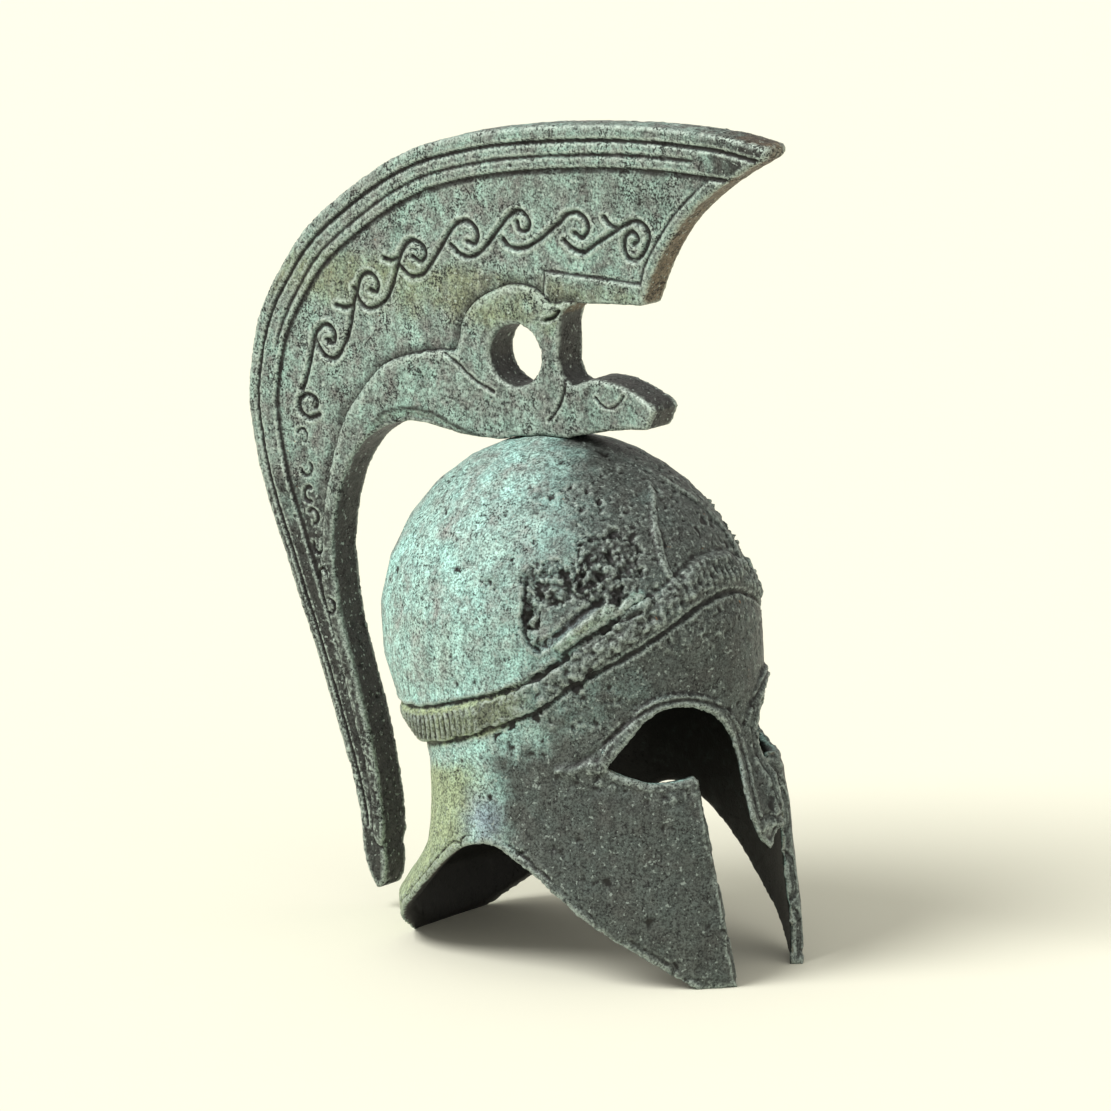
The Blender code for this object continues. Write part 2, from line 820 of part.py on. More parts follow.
def finish(obj, colour, roughness):
    """Gives the object its own metal material and smooth shading with sharp edges."""
    material = bpy.data.materials.new(obj.name + "_metal")
    material.use_nodes = True
    surface = material.node_tree.nodes["Principled BSDF"]
    surface.inputs["Base Color"].default_value = (*colour, 1.0)
    surface.inputs["Metallic"].default_value = 1.0
    surface.inputs["Roughness"].default_value = roughness
    obj.data.materials.clear()
    obj.data.materials.append(material)
    obj.data.shade_smooth()
    obj.data.set_sharp_from_angle(angle=SHARP_ANGLE)


def centre_on_ground(pieces):
    """Moves the pieces together so that the middle of their box stands over the origin, its base at Z = 0."""
    points = [vertex.co for obj in pieces for vertex in obj.data.vertices]
    low = [min(point[k] for point in points) for k in range(3)]
    high = [max(point[k] for point in points) for k in range(3)]
    move = Vector((-(low[0] + high[0]) / 2, -(low[1] + high[1]) / 2, -low[2]))
    for obj in pieces:
        obj.data.transform(Matrix.Translation(move))


def main():
    """Builds every piece."""
    for obj in list(bpy.data.objects):
        bpy.data.objects.remove(obj)
    pieces = [helmet_shell(), crest(), crest_pin()]
    for obj, colour in zip(pieces, (SHELL_COLOUR, CREST_COLOUR, PIN_COLOUR)):
        finish(obj, colour, BRONZE_ROUGHNESS)
    centre_on_ground(pieces)


main()
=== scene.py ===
"""The looks of a small cast bronze helmet with a plume crest: rubbed relief, corrosion and green patina, with
painted shade and painted highlights.
"""

import json
import logging
import math
from dataclasses import dataclass, field
from enum import Enum
from typing import Callable, Iterable, Sequence

import bmesh
import bpy
import numpy as np
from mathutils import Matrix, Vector, noise
from mathutils.bvhtree import BVHTree
from mathutils.kdtree import KDTree

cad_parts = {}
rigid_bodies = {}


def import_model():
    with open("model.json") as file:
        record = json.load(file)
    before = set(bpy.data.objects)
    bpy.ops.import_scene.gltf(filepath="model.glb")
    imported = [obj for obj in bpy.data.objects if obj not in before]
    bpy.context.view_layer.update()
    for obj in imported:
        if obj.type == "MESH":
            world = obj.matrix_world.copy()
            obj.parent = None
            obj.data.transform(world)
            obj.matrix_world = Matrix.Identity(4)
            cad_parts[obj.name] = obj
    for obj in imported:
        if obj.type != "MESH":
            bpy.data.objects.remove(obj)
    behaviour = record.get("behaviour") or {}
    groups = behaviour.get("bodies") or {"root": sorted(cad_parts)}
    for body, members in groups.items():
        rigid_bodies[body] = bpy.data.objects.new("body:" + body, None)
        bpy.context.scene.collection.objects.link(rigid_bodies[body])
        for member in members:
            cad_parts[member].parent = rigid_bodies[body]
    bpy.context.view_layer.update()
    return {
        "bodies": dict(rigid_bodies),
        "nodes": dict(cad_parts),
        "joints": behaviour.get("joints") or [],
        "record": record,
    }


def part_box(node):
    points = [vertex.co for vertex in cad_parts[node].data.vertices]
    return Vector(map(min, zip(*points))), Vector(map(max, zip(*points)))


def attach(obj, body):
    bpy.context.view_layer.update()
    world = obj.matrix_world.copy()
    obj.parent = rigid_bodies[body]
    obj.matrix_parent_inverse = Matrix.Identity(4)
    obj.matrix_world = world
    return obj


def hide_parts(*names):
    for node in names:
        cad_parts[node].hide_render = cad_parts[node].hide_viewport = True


log = logging.getLogger("helmet")

# Relief sizes in this file are in millimetres, in the frame of the dome's own upright axis.
MM = 0.001
PIN_BEHIND_AXIS = 4.0
# A distance beyond all others, and the distance between points taken along an edge.
FAR = 1e9
EDGE_STEP = 0.4
# The sockets of a Mix node in its colour mode: share, first and second colour, and the result.
MIX_INPUTS = (0, 6, 7)
MIX_OUTPUT = 2

Point = tuple[float, float]
Path = Sequence[Point]
Colour = tuple[float, float, float]


class Mark(Enum):
    """The masks that each casting carries on its points, read by the finishes."""

    # Dark filling of grooves, pits and creases, which is patina in the hollows, also used as painted shade on
    # the inner skin and at the foot of steps.
    HOLLOW_AND_SHADE = "hollow"
    # Lighter colour of rubbed bronze, also used for painted highlights on edges, lips and brinks.
    WORN_AND_HIGHLIGHT = "worn_and_highlight"
    CRUST = "crust"
    SHADE = "shade"
    WARM = "warm"
    TINT = "tint"
    # Brown bronze on cut faces that look forwards, painted darker as painted shade away from the key light.
    EDGE = "edge"


# Small tools for meshes.


def pick(piece: bpy.types.Object) -> None:
    """Makes a piece the only one that is selected, and the active one.

    Args:
        piece: The object to select.
    """
    bpy.ops.object.select_all(action="DESELECT")
    piece.select_set(True)
    bpy.context.view_layer.objects.active = piece


def copy_of_node(frame: dict, node: str, name: str) -> bpy.types.Object:
    """Copies a node of the frame as a merged mesh of its own.

    Args:
        node: The node's name.
        name: The new piece's name.

    Returns:
        The new piece, at the origin.
    """
    piece = bpy.data.objects.new(name, frame["nodes"][node].data.copy())
    piece.data.name = name
    bpy.context.scene.collection.objects.link(piece)
    pick(piece)
    bpy.ops.object.mode_set(mode="EDIT")
    bpy.ops.mesh.select_all(action="SELECT")
    bpy.ops.mesh.remove_doubles(threshold=0.000001)
    bpy.ops.mesh.customdata_custom_splitnormals_clear()
    bpy.ops.object.mode_set(mode="OBJECT")
    return piece


def apply_modifier(piece: bpy.types.Object, kind: str, **settings: object) -> None:
    """Adds a modifier to a piece and applies it.

    Args:
        piece: The piece.
        kind: The modifier's type.
        **settings: Values by the modifier's own names.
    """
    modifier = piece.modifiers.new(kind.title(), kind)
    for name, value in settings.items():
        setattr(modifier, name, value)
    pick(piece)
    bpy.ops.object.modifier_apply(modifier=modifier.name)


def dress(piece: bpy.types.Object, material: bpy.types.Material) -> None:
    """Gives a piece its only material and smooth shading.

    Args:
        piece: The piece.
        material: The material.
    """
    piece.data.materials.clear()
    piece.data.materials.append(material)
    pick(piece)
    bpy.ops.object.shade_smooth()


def read_rows(items: bpy.types.bpy_prop_collection, what: str) -> np.ndarray:
    """Reads the places or the directions of a mesh's points or faces.

    Args:
        items: The mesh's vertices or polygons.
        what: "co" or "center" for the places, or "normal" for the directions.

    Returns:
        One row of three numbers for each item.
    """
    values = np.empty(len(items) * 3, np.float32)
    items.foreach_get(what, values)
    return values.reshape(-1, 3).astype(float)


def tree_of(spots: Sequence) -> KDTree:
    """Sorts points so that the nearest one to a place is found fast.

    Args:
        spots: The points.

    Returns:
        The tree.
    """
    tree = KDTree(len(spots))
    for index, spot in enumerate(spots):
        tree.insert(spot, index)
    tree.balance()
    return tree


def direction(turn: float, rise: float) -> Vector:
    """Finds the direction that has a turn from the front and a rise over the floor.

    Args:
        turn: The turn, in degrees.
        rise: The rise, in degrees.

    Returns:
        The direction, one unit long.
    """
    turn, rise = math.radians(turn), math.radians(rise)
    return Vector((math.sin(turn) * math.cos(rise), -math.cos(turn) * math.cos(rise), math.sin(rise)))


def select_faces(piece: bpy.types.Object, chosen: np.ndarray) -> None:
    """Opens a piece for editing with the chosen faces selected.

    Args:
        piece: The piece.
        chosen: True for each face to select.
    """
    pick(piece)
    bpy.context.tool_settings.mesh_select_mode = (False, False, True)
    bpy.ops.object.mode_set(mode="EDIT")
    bpy.ops.mesh.select_all(action="DESELECT")
    bpy.ops.object.mode_set(mode="OBJECT")
    piece.data.polygons.foreach_set("select", chosen)
    bpy.ops.object.mode_set(mode="EDIT")


def refine(piece: bpy.types.Object, chosen: np.ndarray) -> None:
    """Cuts each chosen face in two both ways.

    Args:
        piece: The piece.
        chosen: True for each face to cut.
    """
    select_faces(piece, chosen)
    bpy.ops.mesh.subdivide(number_cuts=1)
    bpy.ops.object.mode_set(mode="OBJECT")


def thin_out(piece: bpy.types.Object, chosen: np.ndarray, share: float) -> None:
    """Joins small faces where little is seen.

    Args:
        piece: The piece.
        chosen: True for each face to thin out.
        share: The share of the chosen faces that stays.
    """
    select_faces(piece, chosen)
    bpy.ops.mesh.decimate(ratio=share)
    bpy.ops.object.mode_set(mode="OBJECT")


def ease(low: float, high: float, value: np.ndarray) -> np.ndarray:
    """Rises smoothly from 0 to 1.

    Args:
        low: Where it starts. It may be above high, and then the value falls.
        high: Where it ends.
        value: The values to read it at.

    Returns:
        A number from 0 to 1 for each value.
    """
    share = np.clip((value - low) / (high - low), 0.0, 1.0)
    return share * share * (3 - 2 * share)


def smooth_line(points: Path, steps: int = 5) -> np.ndarray:
    """Lays a smooth curve through a few points.

    Args:
        points: The points that the curve goes through.
        steps: Stretches between two points.

    Returns:
        The curve's own points, one row each.
    """
    known = np.array(points, float)
    padded = np.vstack([2 * known[0] - known[1], known, 2 * known[-1] - known[-2]])
    curve = []
    for a, b, c, d in zip(padded, padded[1:], padded[2:], padded[3:]):
        square, cube = 2 * a - 5 * b + 4 * c - d, 3 * b - 3 * c + d - a
        for t in np.arange(steps) / steps:
            curve.append(0.5 * (2 * b + (c - a) * t + square * t**2 + cube * t**3))
    curve.append(known[-1])
    return np.array(curve)


def distance_to_line(places: np.ndarray, line: np.ndarray) -> np.ndarray:
    """Measures how far each place lies from a line of straight stretches.

    Args:
        places: One row of two numbers for each place.
        line: The line's points, one row each.

    Returns:
        The distance for each place.
    """
    best = np.full(len(places), FAR)
    for start, end in zip(line, line[1:]):
        along = end - start
        length = max(float(along @ along), 1e-12)
        share = np.clip(((places - start) @ along) / length, 0.0, 1.0)
        gap = places - (start + share[:, None] * along)
        best = np.minimum(best, np.hypot(gap[:, 0], gap[:, 1]))
    return best


@dataclass
class Relief:
    """The fine relief of one casting, gathered point by point and then given to its mesh."""

    piece: bpy.types.Object
    axis_y: float
    places: np.ndarray = field(init=False)
    normals: np.ndarray = field(init=False)
    out: np.ndarray = field(init=False)
    marks: dict[Mark, np.ndarray] = field(init=False)

    def __post_init__(self) -> None:
        """Reads the casting's points, in millimetres from the dome's axis."""
        self.places = read_rows(self.piece.data.vertices, "co") / MM
        self.places[:, 1] -= self.axis_y
        self.normals = read_rows(self.piece.data.vertices, "normal")
        self.out = np.zeros(len(self.places))
        self.marks = {mark: np.zeros(len(self.places)) for mark in Mark}

    def cloud(self, size: float, seed: float, rounds: int = 1) -> np.ndarray:
        """Reads soft noise at every point.

        Args:
            size: Size of its lumps, in millimetres.
            seed: Shifts the noise.
            rounds: Layers of finer noise.

        Returns:
            About -1 to 1 for each point.
        """
        shift = Vector((seed, 2.7 * seed, -1.9 * seed))
        spots = [Vector(place) / size + shift for place in self.places]
        if rounds == 1:
            return np.array([noise.noise(spot) for spot in spots])
        return np.array([noise.fractal(spot, 0.6, 2.1, rounds) for spot in spots])

    def cells(self, size: float, seed: float) -> np.ndarray:
        """Measures the distance to the nearest of many scattered spots.

        Args:
            size: Distance between the spots, in millimetres.
            seed: Shifts the spots.

        Returns:
            0 on a spot and about 1 far from all of them, for each point.
        """
        shift = Vector((seed, 1.3 * seed, 0.7 * seed))
        found = []
        for place in self.places:
            spot = Vector(place) / size + shift
            found.append(noise.voronoi(spot + 0.4 * noise.noise_vector(spot * 1.9))[0][0])
        return np.array(found)

    def mark(self, mark: Mark, amount: np.ndarray) -> None:
        """Raises a mask to an amount where it is lower.

        Args:
            mark: The mask.
            amount: The least value that it gets at each point.
        """
        self.marks[mark] = np.maximum(self.marks[mark], np.clip(amount, 0.0, 1.0))

    def groove(
        self, gap: np.ndarray, width: float, depth: float, where: np.ndarray, dark: float = 1.0
    ) -> None:
        """Cuts a groove with a rounded floor and slightly raised lips.

        Args:
            gap: Distance of each point from the groove's middle line, in millimetres.
            width: The groove's width.
            depth: Its depth.
            where: How much of it is cut at each point, from 0 to 1.
            dark: How dark its floor is, from 0 to 1.
        """
        half = width / 2
        floor = ease(half, half * 0.25, gap) * where
        lips = ease(half * 2.0, half * 1.2, gap) * ease(half * 0.7, half * 1.2, gap) * where
        self.out += lips * depth * 0.2 - floor * depth
        self.mark(Mark.HOLLOW_AND_SHADE, ease(half * 1.1, half * 0.3, gap) * where * dark * 0.8)

    def hole(self, gap: np.ndarray, size: float, depth: float, where: np.ndarray) -> None:
        """Sinks one ragged pit.

        Args:
            gap: Distance of each point from its middle, in millimetres.
            size: Its width.
            depth: Its depth.
            where: How much of it is sunk at each point, from 0 to 1.
        """
        floor = ease(size * 0.6, size * 0.25, gap) * where
        self.out -= floor * depth
        self.mark(Mark.HOLLOW_AND_SHADE, ease(0.4, 0.9, floor) * 0.9)

    def ridge(self, gap: np.ndarray, width: float, height: float, where: np.ndarray) -> None:
        """Raises a rounded ridge.

        Args:
            gap: Distance of each point from the ridge's middle line, in millimetres.
            width: The ridge's width.
            height: Its height.
            where: How much of it stands at each point, from 0 to 1.
        """
        crown = ease(width / 2, width * 0.15, gap) * where
        self.out += crown * height

    def pits(self, size: float, seed: float, depth: float, amount: np.ndarray, share: float) -> None:
        """Sinks scattered round pits.

        Args:
            size: Distance between the places where a pit may be.
            seed: Shifts them.
            depth: Their depth.
            amount: How strong they are at each point, from 0 to 1.
            share: The share of the places that has one.
        """
        reach = self.cells(size, seed)
        chance = ease(0.62 - share, 0.72 - share, self.cloud(size * 1.7, seed + 5.0) * 0.5 + 0.5)
        hole = ease(0.42, 0.12, reach) * chance * amount
        self.out -= hole * depth
        self.mark(Mark.HOLLOW_AND_SHADE, ease(0.25, 0.8, hole))

    def bend(self, moved: np.ndarray) -> np.ndarray:
        """Measures how hollow or how sharp the carved surface is at each point.

        Args:
            moved: The points of the carved surface.

        Returns:
            The surface's bend per millimetre: above 0 in hollows and below 0 on edges.
        """
        mesh = self.piece.data
        ends = np.empty(len(mesh.edges) * 2, np.int32)
        mesh.edges.foreach_get("vertices", ends)
        first, second = ends.reshape(-1, 2).T
        normals = read_rows(mesh.vertices, "normal")
        count = len(moved)
        number = np.maximum(np.bincount(first, minlength=count) + np.bincount(second, minlength=count), 1)

        def around(values: np.ndarray) -> np.ndarray:
            """Averages a value over each point's neighbours.

            Args:
                values: The value at each point.

            Returns:
                The average for each point.
            """
            total = np.bincount(first, values[second], count) + np.bincount(second, values[first], count)
            return total / number

        away = np.column_stack([around(moved[:, k]) for k in range(3)]) - moved
        span = np.linalg.norm(moved[first] - moved[second], axis=1) ** 2
        reach = (np.bincount(first, span, count) + np.bincount(second, span, count)) / number
        bend = 4 * (away * normals).sum(axis=1) / np.maximum(reach, 0.01)
        for _ in range(2):
            bend = (bend + around(bend)) / 2
        return bend

    def give(self, limit: float) -> None:
        """Moves the casting's points out or in and stores the masks on it.

        Args:
            limit: The furthest that a point may move either way, in millimetres.
        """
        moved = self.places + self.normals * np.clip(self.out, -limit, limit)[:, None]
        moved[:, 1] += self.axis_y
        moved[:, 2] = np.maximum(moved[:, 2], 0.0)
        self.piece.data.vertices.foreach_set("co", (moved * MM).astype(np.float32).ravel())
        self.piece.data.update()
        bend = self.bend(moved)
        # Colour from the surface's bend: concave places darker, as patina in the hollows and painted shade;
        # sharp edges lighter, as painted highlight and rubbed bronze.
        self.mark(Mark.HOLLOW_AND_SHADE, ease(0.35, 1.3, bend) * 0.85)
        self.mark(Mark.WORN_AND_HIGHLIGHT, ease(-0.30, -1.1, bend) * (1 - self.marks[Mark.HOLLOW_AND_SHADE]))
        for mark, values in self.marks.items():
            layer = self.piece.data.attributes.new(mark.value, "FLOAT", "POINT")
            layer.data.foreach_set("value", values.astype(np.float32))
        self.piece.data.update()


# Shader tools.


class Graph:
    """Adds nodes to a material's or a group's tree and links them."""

    def __init__(self, tree: bpy.types.NodeTree) -> None:
        """Takes the tree to work on.

        Args:
            tree: The node tree.
        """
        self.tree = tree
        self.column = 0

    def node(self, kind: str, **inputs: object) -> bpy.types.Node:
        """Adds a node and sets or links its inputs.

        Args:
            kind: The node's type.
            **inputs: Values or sockets by the input's name, with _ for a space.

        Returns:
            The node.
        """
        made = self.tree.nodes.new(kind)
        made.location = (180 * (self.column % 12), -220 * (self.column // 12))
        self.column += 1
        for name, value in inputs.items():
            self.plug(made.inputs[name.replace("_", " ")], value)
        return made

    def plug(self, socket: bpy.types.NodeSocket, value: object) -> None:
        """Links a socket to another one, or sets its value.

        Args:
            socket: The input.
            value: A socket, a number or a colour.
        """
        if isinstance(value, bpy.types.NodeSocket):
            self.tree.links.new(value, socket)
        elif isinstance(value, tuple) and len(value) == 3 and socket.type == "RGBA":
            socket.default_value = (*value, 1.0)
        else:
            socket.default_value = value

    def math(self, operation: str, first: object, second: object = 0.0) -> bpy.types.NodeSocket:
        """Adds a Math node.

        Args:
            operation: Its operation.
            first: First value or socket.
            second: Second value or socket.

        Returns:
            Its output.
        """
        made = self.node("ShaderNodeMath")
        made.operation = operation
        self.plug(made.inputs[0], first)
        self.plug(made.inputs[1], second)
        return made.outputs[0]

    def mix(
        self, share: object, first: object, second: object, blend: str = "MIX"
    ) -> bpy.types.NodeSocket:
        """Blends two colours.

        Args:
            share: How much of the second there is.
            first: First colour.
            second: Second colour, or a value to multiply the first by.
            blend: How they are blended.

        Returns:
            The new colour.
        """
        made = self.node("ShaderNodeMix")
        made.data_type = "RGBA"
        made.blend_type = blend
        for place, item in zip(MIX_INPUTS, (share, first, second)):
            self.plug(made.inputs[place], item)
        return made.outputs[MIX_OUTPUT]

    def span(
        self, value: object, low: object, high: object, start: float = 0.0, end: float = 1.0
    ) -> bpy.types.NodeSocket:
        """Maps a range of values to another, smoothly.

        Args:
            value: The value to map.
            low: Where the range starts.
            high: Where it ends.
            start: The result at low.
            end: The result at high.

        Returns:
            The mapped value's socket.
        """
        made = self.node("ShaderNodeMapRange")
        made.interpolation_type = "SMOOTHSTEP"
        for place, item in enumerate((value, low, high, start, end)):
            self.plug(made.inputs[place], item)
        return made.outputs[0]

    def cloud(
        self, vector: object, scale: object, detail: float = 4.0, roughness: float = 0.6
    ) -> bpy.types.NodeSocket:
        """Adds a Noise Texture.

        Args:
            vector: Where it is read.
            scale: Its scale.
            detail: Layers of finer noise.
            roughness: Strength of the finer layers.

        Returns:
            Its value's socket.
        """
        made = self.node("ShaderNodeTexNoise", Vector=vector, Scale=scale, Detail=detail, Roughness=roughness)
        return made.outputs["Fac"]

    def attribute(self, mark: Mark) -> bpy.types.NodeSocket:
        """Reads one of the casting's masks.

        Args:
            mark: The mask.

        Returns:
            Its value's socket.
        """
        made = self.node("ShaderNodeAttribute")
        made.attribute_name = mark.value
        return made.outputs["Fac"]


def new_group(name: str, inputs: dict[str, object], outputs: dict[str, str]) -> tuple[Graph, dict, dict]:
    """Makes an empty node group with named sockets.

    Args:
        name: The group's name.
        inputs: The inputs' names with their default values, and None for a vector.
        outputs: The outputs' names with "NodeSocketFloat" or "NodeSocketColor".

    Returns:
        The group's graph, its inputs inside the group and its output sockets by name.
    """
    tree = bpy.data.node_groups.new(name, "ShaderNodeTree")
    for label, value in inputs.items():
        if value is None:
            tree.interface.new_socket(label, in_out="INPUT", socket_type="NodeSocketVector")
            continue
        kind = "NodeSocketColor" if isinstance(value, tuple) else "NodeSocketFloat"
        socket = tree.interface.new_socket(label, in_out="INPUT", socket_type=kind)
        socket.default_value = (*value, 1.0) if isinstance(value, tuple) else value
    for label, kind in outputs.items():
        tree.interface.new_socket(label, in_out="OUTPUT", socket_type=kind)
    start = tree.nodes.new("NodeGroupInput")
    end = tree.nodes.new("NodeGroupOutput")
    start.location = (-400, 0)
    end.location = (2400, 0)
    given = {socket.name: socket for socket in start.outputs if socket.name}
    result = {socket.name: socket for socket in end.inputs if socket.name}
    return Graph(tree), given, result


def patina_group() -> bpy.types.NodeTree:
    """Makes the group that mottles two tones into each other, from broad clouds down to specks.

    Returns:
        The node group.
    """
    graph, given, result = new_group(
        "patina_mottle",
        {
            "Vector": None,
            "Tone A": (0.3, 0.4, 0.35),
            "Tone B": (0.1, 0.1, 0.1),
            "Blotch": 120.0,
            "Share": 0.5,
        },
        {"Color": "NodeSocketColor"},
    )
    clouds = graph.cloud(given["Vector"], given["Blotch"], 7.0, 0.66)
    low = graph.math("SUBTRACT", 0.75, graph.math("MULTIPLY", given["Share"], 0.5))
    mask = graph.span(clouds, graph.math("SUBTRACT", low, 0.20), graph.math("ADD", low, 0.20))
    graph.plug(result["Color"], graph.mix(mask, given["Tone B"], given["Tone A"]))
    return graph.tree


def grain_group() -> bpy.types.NodeTree:
    """Makes the group for the cast skin's fine grain and pores.

    Returns:
        The node group.
    """
    graph, given, result = new_group(
        "cast_grain",
        {"Vector": None, "Pores": 0.5, "Coarse": 0.5},
        {"Height": "NodeSocketFloat", "Pore": "NodeSocketFloat", "Tone": "NodeSocketFloat"},
    )
    fine = graph.cloud(given["Vector"], 2500.0, 3.0, 0.7)
    lumps = graph.cloud(given["Vector"], 1000.0, 4.0, 0.65)
    patch = graph.cloud(given["Vector"], 240.0, 3.0, 0.6)
    both = graph.math("ADD", graph.math("MULTIPLY", fine, 0.68), graph.math("MULTIPLY", lumps, 0.32))
    shift = graph.math("MULTIPLY", graph.span(patch, 0.35, 0.7), graph.math("MULTIPLY", given["Pores"], 0.16))
    edge = graph.math("ADD", 0.33, shift)
    pore = graph.span(both, graph.math("ADD", edge, 0.055), graph.math("SUBTRACT", edge, 0.02))
    rough = graph.math("MULTIPLY", lumps, given["Coarse"])
    height = graph.math("ADD", graph.math("MULTIPLY", fine, 0.5), rough)
    graph.plug(result["Height"], graph.math("SUBTRACT", height, graph.math("MULTIPLY", pore, 0.55)))
    graph.plug(result["Pore"], pore)
    graph.plug(result["Tone"], graph.span(both, 0.41, 0.60, 0.45, 1.55))
    return graph.tree


@dataclass(frozen=True)
class AgedBronze:
    """Bronze under a green and grey patina, with dark hollows and painted shade, and lighter edges from wear
    and painted highlights.
    """

    name: str
    pale: Colour
    middle: Colour
    dull: Colour
    shade: Colour
    # Colour of the hollows: patina in them, and painted shade where the mask marks shade.
    hollow: Colour
    crust: Colour
    # Colour of rubbed bronze and of the painted highlights and glints.
    worn_and_highlight: Colour
    warm: Colour
    tint: Colour
    # Colour of cut faces that look forwards: brown bronze darkened as painted shade.
    edge: Colour
    blotch: float
    pale_share: float
    dull_share: float
    pores: float
    coarse: float
    bump: float
    roughness: float = 0.58
    speck: Colour = (0.30, 0.15, 0.06)

    def material(self, patina: bpy.types.NodeTree, grain: bpy.types.NodeTree) -> bpy.types.Material:
        """Builds the material.

        Args:
            patina: The mottling group.
            grain: The grain group.

        Returns:
            The material.
        """
        made = bpy.data.materials.new(self.name)
        made.use_nodes = True
        graph = Graph(made.node_tree)
        surface = made.node_tree.nodes["Principled BSDF"]
        spot = graph.node("ShaderNodeTexCoord").outputs["Object"]
        marks = {mark: graph.attribute(mark) for mark in Mark}
        hollow, worn_and_highlight = marks[Mark.HOLLOW_AND_SHADE], marks[Mark.WORN_AND_HIGHLIGHT]

        first = self.group(graph, patina, Vector=spot, Blotch=self.blotch, Share=self.pale_share)
        graph.plug(first.inputs["Tone A"], self.pale)
        graph.plug(first.inputs["Tone B"], self.middle)
        turned = graph.node("ShaderNodeMapping", Vector=spot, Location=(0.31, 0.12, 0.47)).outputs[0]
        second = self.group(graph, patina, Vector=turned, Blotch=self.blotch * 2.3, Share=self.dull_share)
        graph.plug(second.inputs["Tone A"], self.dull)
        graph.plug(second.inputs["Tone B"], first.outputs["Color"])
        skin = self.group(graph, grain, Vector=spot, Pores=self.pores, Coarse=self.coarse)

        edge_noise = graph.math("MULTIPLY", graph.cloud(spot, 420.0, 6.0, 0.75), 0.9)
        broad_noise = graph.math("MULTIPLY", graph.cloud(turned, 130.0, 7.0, 0.75), 1.1)
        colour = second.outputs["Color"]
        layers = (
            (marks[Mark.WARM], broad_noise, 0.65, 1.30, self.warm, 0.85),
            (marks[Mark.TINT], broad_noise, 0.70, 1.30, self.tint, 0.85),
            (marks[Mark.SHADE], graph.math("MULTIPLY", broad_noise, 0.75), 0.36, 1.00, self.shade, 0.95),
            (marks[Mark.EDGE], edge_noise, 0.60, 1.20, self.edge, 0.90),
            (marks[Mark.CRUST], edge_noise, 0.65, 1.30, self.crust, 0.80),
        )
        for mask, ragged, low, high, tone, strength in layers:
            share = graph.span(graph.math("ADD", mask, ragged), low, high, 0.0, strength)
            colour = graph.mix(share, colour, tone)
        speck = graph.span(graph.cloud(turned, 620.0, 2.0, 0.5), 0.76, 0.80, 0.0, 0.7)
        colour = graph.mix(speck, colour, self.speck)
        streaky = graph.node("ShaderNodeMapping", Vector=spot, Scale=(1.0, 1.0, 0.12)).outputs[0]
        streak = graph.span(graph.cloud(streaky, 650.0, 5.0, 0.62), 0.32, 0.68, 0.80, 1.18)
        for factor in (streak, skin.outputs["Tone"]):
            colour = graph.mix(1.0, colour, factor, "MULTIPLY")
        glint = graph.span(graph.cloud(spot, 1300.0, 2.0, 0.5), 0.63, 0.70, 0.0, 0.55)
        colour = graph.mix(glint, colour, self.worn_and_highlight)
        # Painted highlights and rubbed bronze: lighter where the mask is set.
        highlight_and_wear_share = graph.math("MULTIPLY", graph.math("MULTIPLY", worn_and_highlight, skin.outputs["Tone"]), 0.55)
        colour = graph.mix(highlight_and_wear_share, colour, self.worn_and_highlight)
        colour = graph.mix(graph.math("MULTIPLY", skin.outputs["Pore"], 0.8), colour, self.hollow)
        # The hollows are darkened with patina colour and painted shade.
        sunk = graph.span(graph.math("ADD", hollow, graph.math("MULTIPLY", edge_noise, 0.5)), 0.35, 1.15)
        colour = graph.mix(sunk, colour, self.hollow)
        graph.plug(surface.inputs["Base Color"], colour)

        rough = self.roughness
        for mask, change in ((worn_and_highlight, -0.12), (marks[Mark.SHADE], -0.16), (skin.outputs["Pore"], 0.2)):
            rough = graph.math("ADD", rough, graph.math("MULTIPLY", mask, change))
        graph.plug(surface.inputs["Roughness"], rough)
        graph.plug(surface.inputs["Metallic"], graph.math("MULTIPLY", worn_and_highlight, 0.25))
        surface.inputs["Specular IOR Level"].default_value = 0.32
        bump = graph.node("ShaderNodeBump", Strength=1.0, Distance=self.bump * MM)
        graph.plug(bump.inputs["Height"], skin.outputs["Height"])
        graph.plug(surface.inputs["Normal"], bump.outputs["Normal"])
        return made

    @staticmethod
    def group(graph: Graph, tree: bpy.types.NodeTree, **inputs: object) -> bpy.types.Node:
        """Places a node group.

        Args:
            graph: The graph that gets it.
            tree: The group.
            **inputs: Values or sockets by the input's name.

        Returns:
            The group's node.
        """
        made = graph.node("ShaderNodeGroup")
        made.node_tree = tree
        for name, value in inputs.items():
            graph.plug(made.inputs[name], value)
        return made


@dataclass(frozen=True)
class PlainBronze:
    """Turned bronze that has only darkened."""

    name: str
    colour: Colour
    dark: Colour

    def material(self) -> bpy.types.Material:
        """Builds the material.

        Returns:
            The material.
        """
        made = bpy.data.materials.new(self.name)
        made.use_nodes = True
        graph = Graph(made.node_tree)
        surface = made.node_tree.nodes["Principled BSDF"]
        spot = graph.node("ShaderNodeTexCoord").outputs["Object"]
        stain = graph.cloud(spot, 500.0, 5.0, 0.6)
        colour = graph.mix(graph.span(stain, 0.35, 0.65), self.colour, self.dark)
        graph.plug(surface.inputs["Base Color"], colour)
        graph.plug(surface.inputs["Roughness"], graph.span(stain, 0.3, 0.7, 0.38, 0.55))
        surface.inputs["Metallic"].default_value = 0.9
        grit = graph.cloud(spot, 3000.0)
        bump = graph.node("ShaderNodeBump", Strength=0.3, Distance=0.05 * MM, Height=grit)
        graph.plug(surface.inputs["Normal"], bump.outputs["Normal"])
        return made


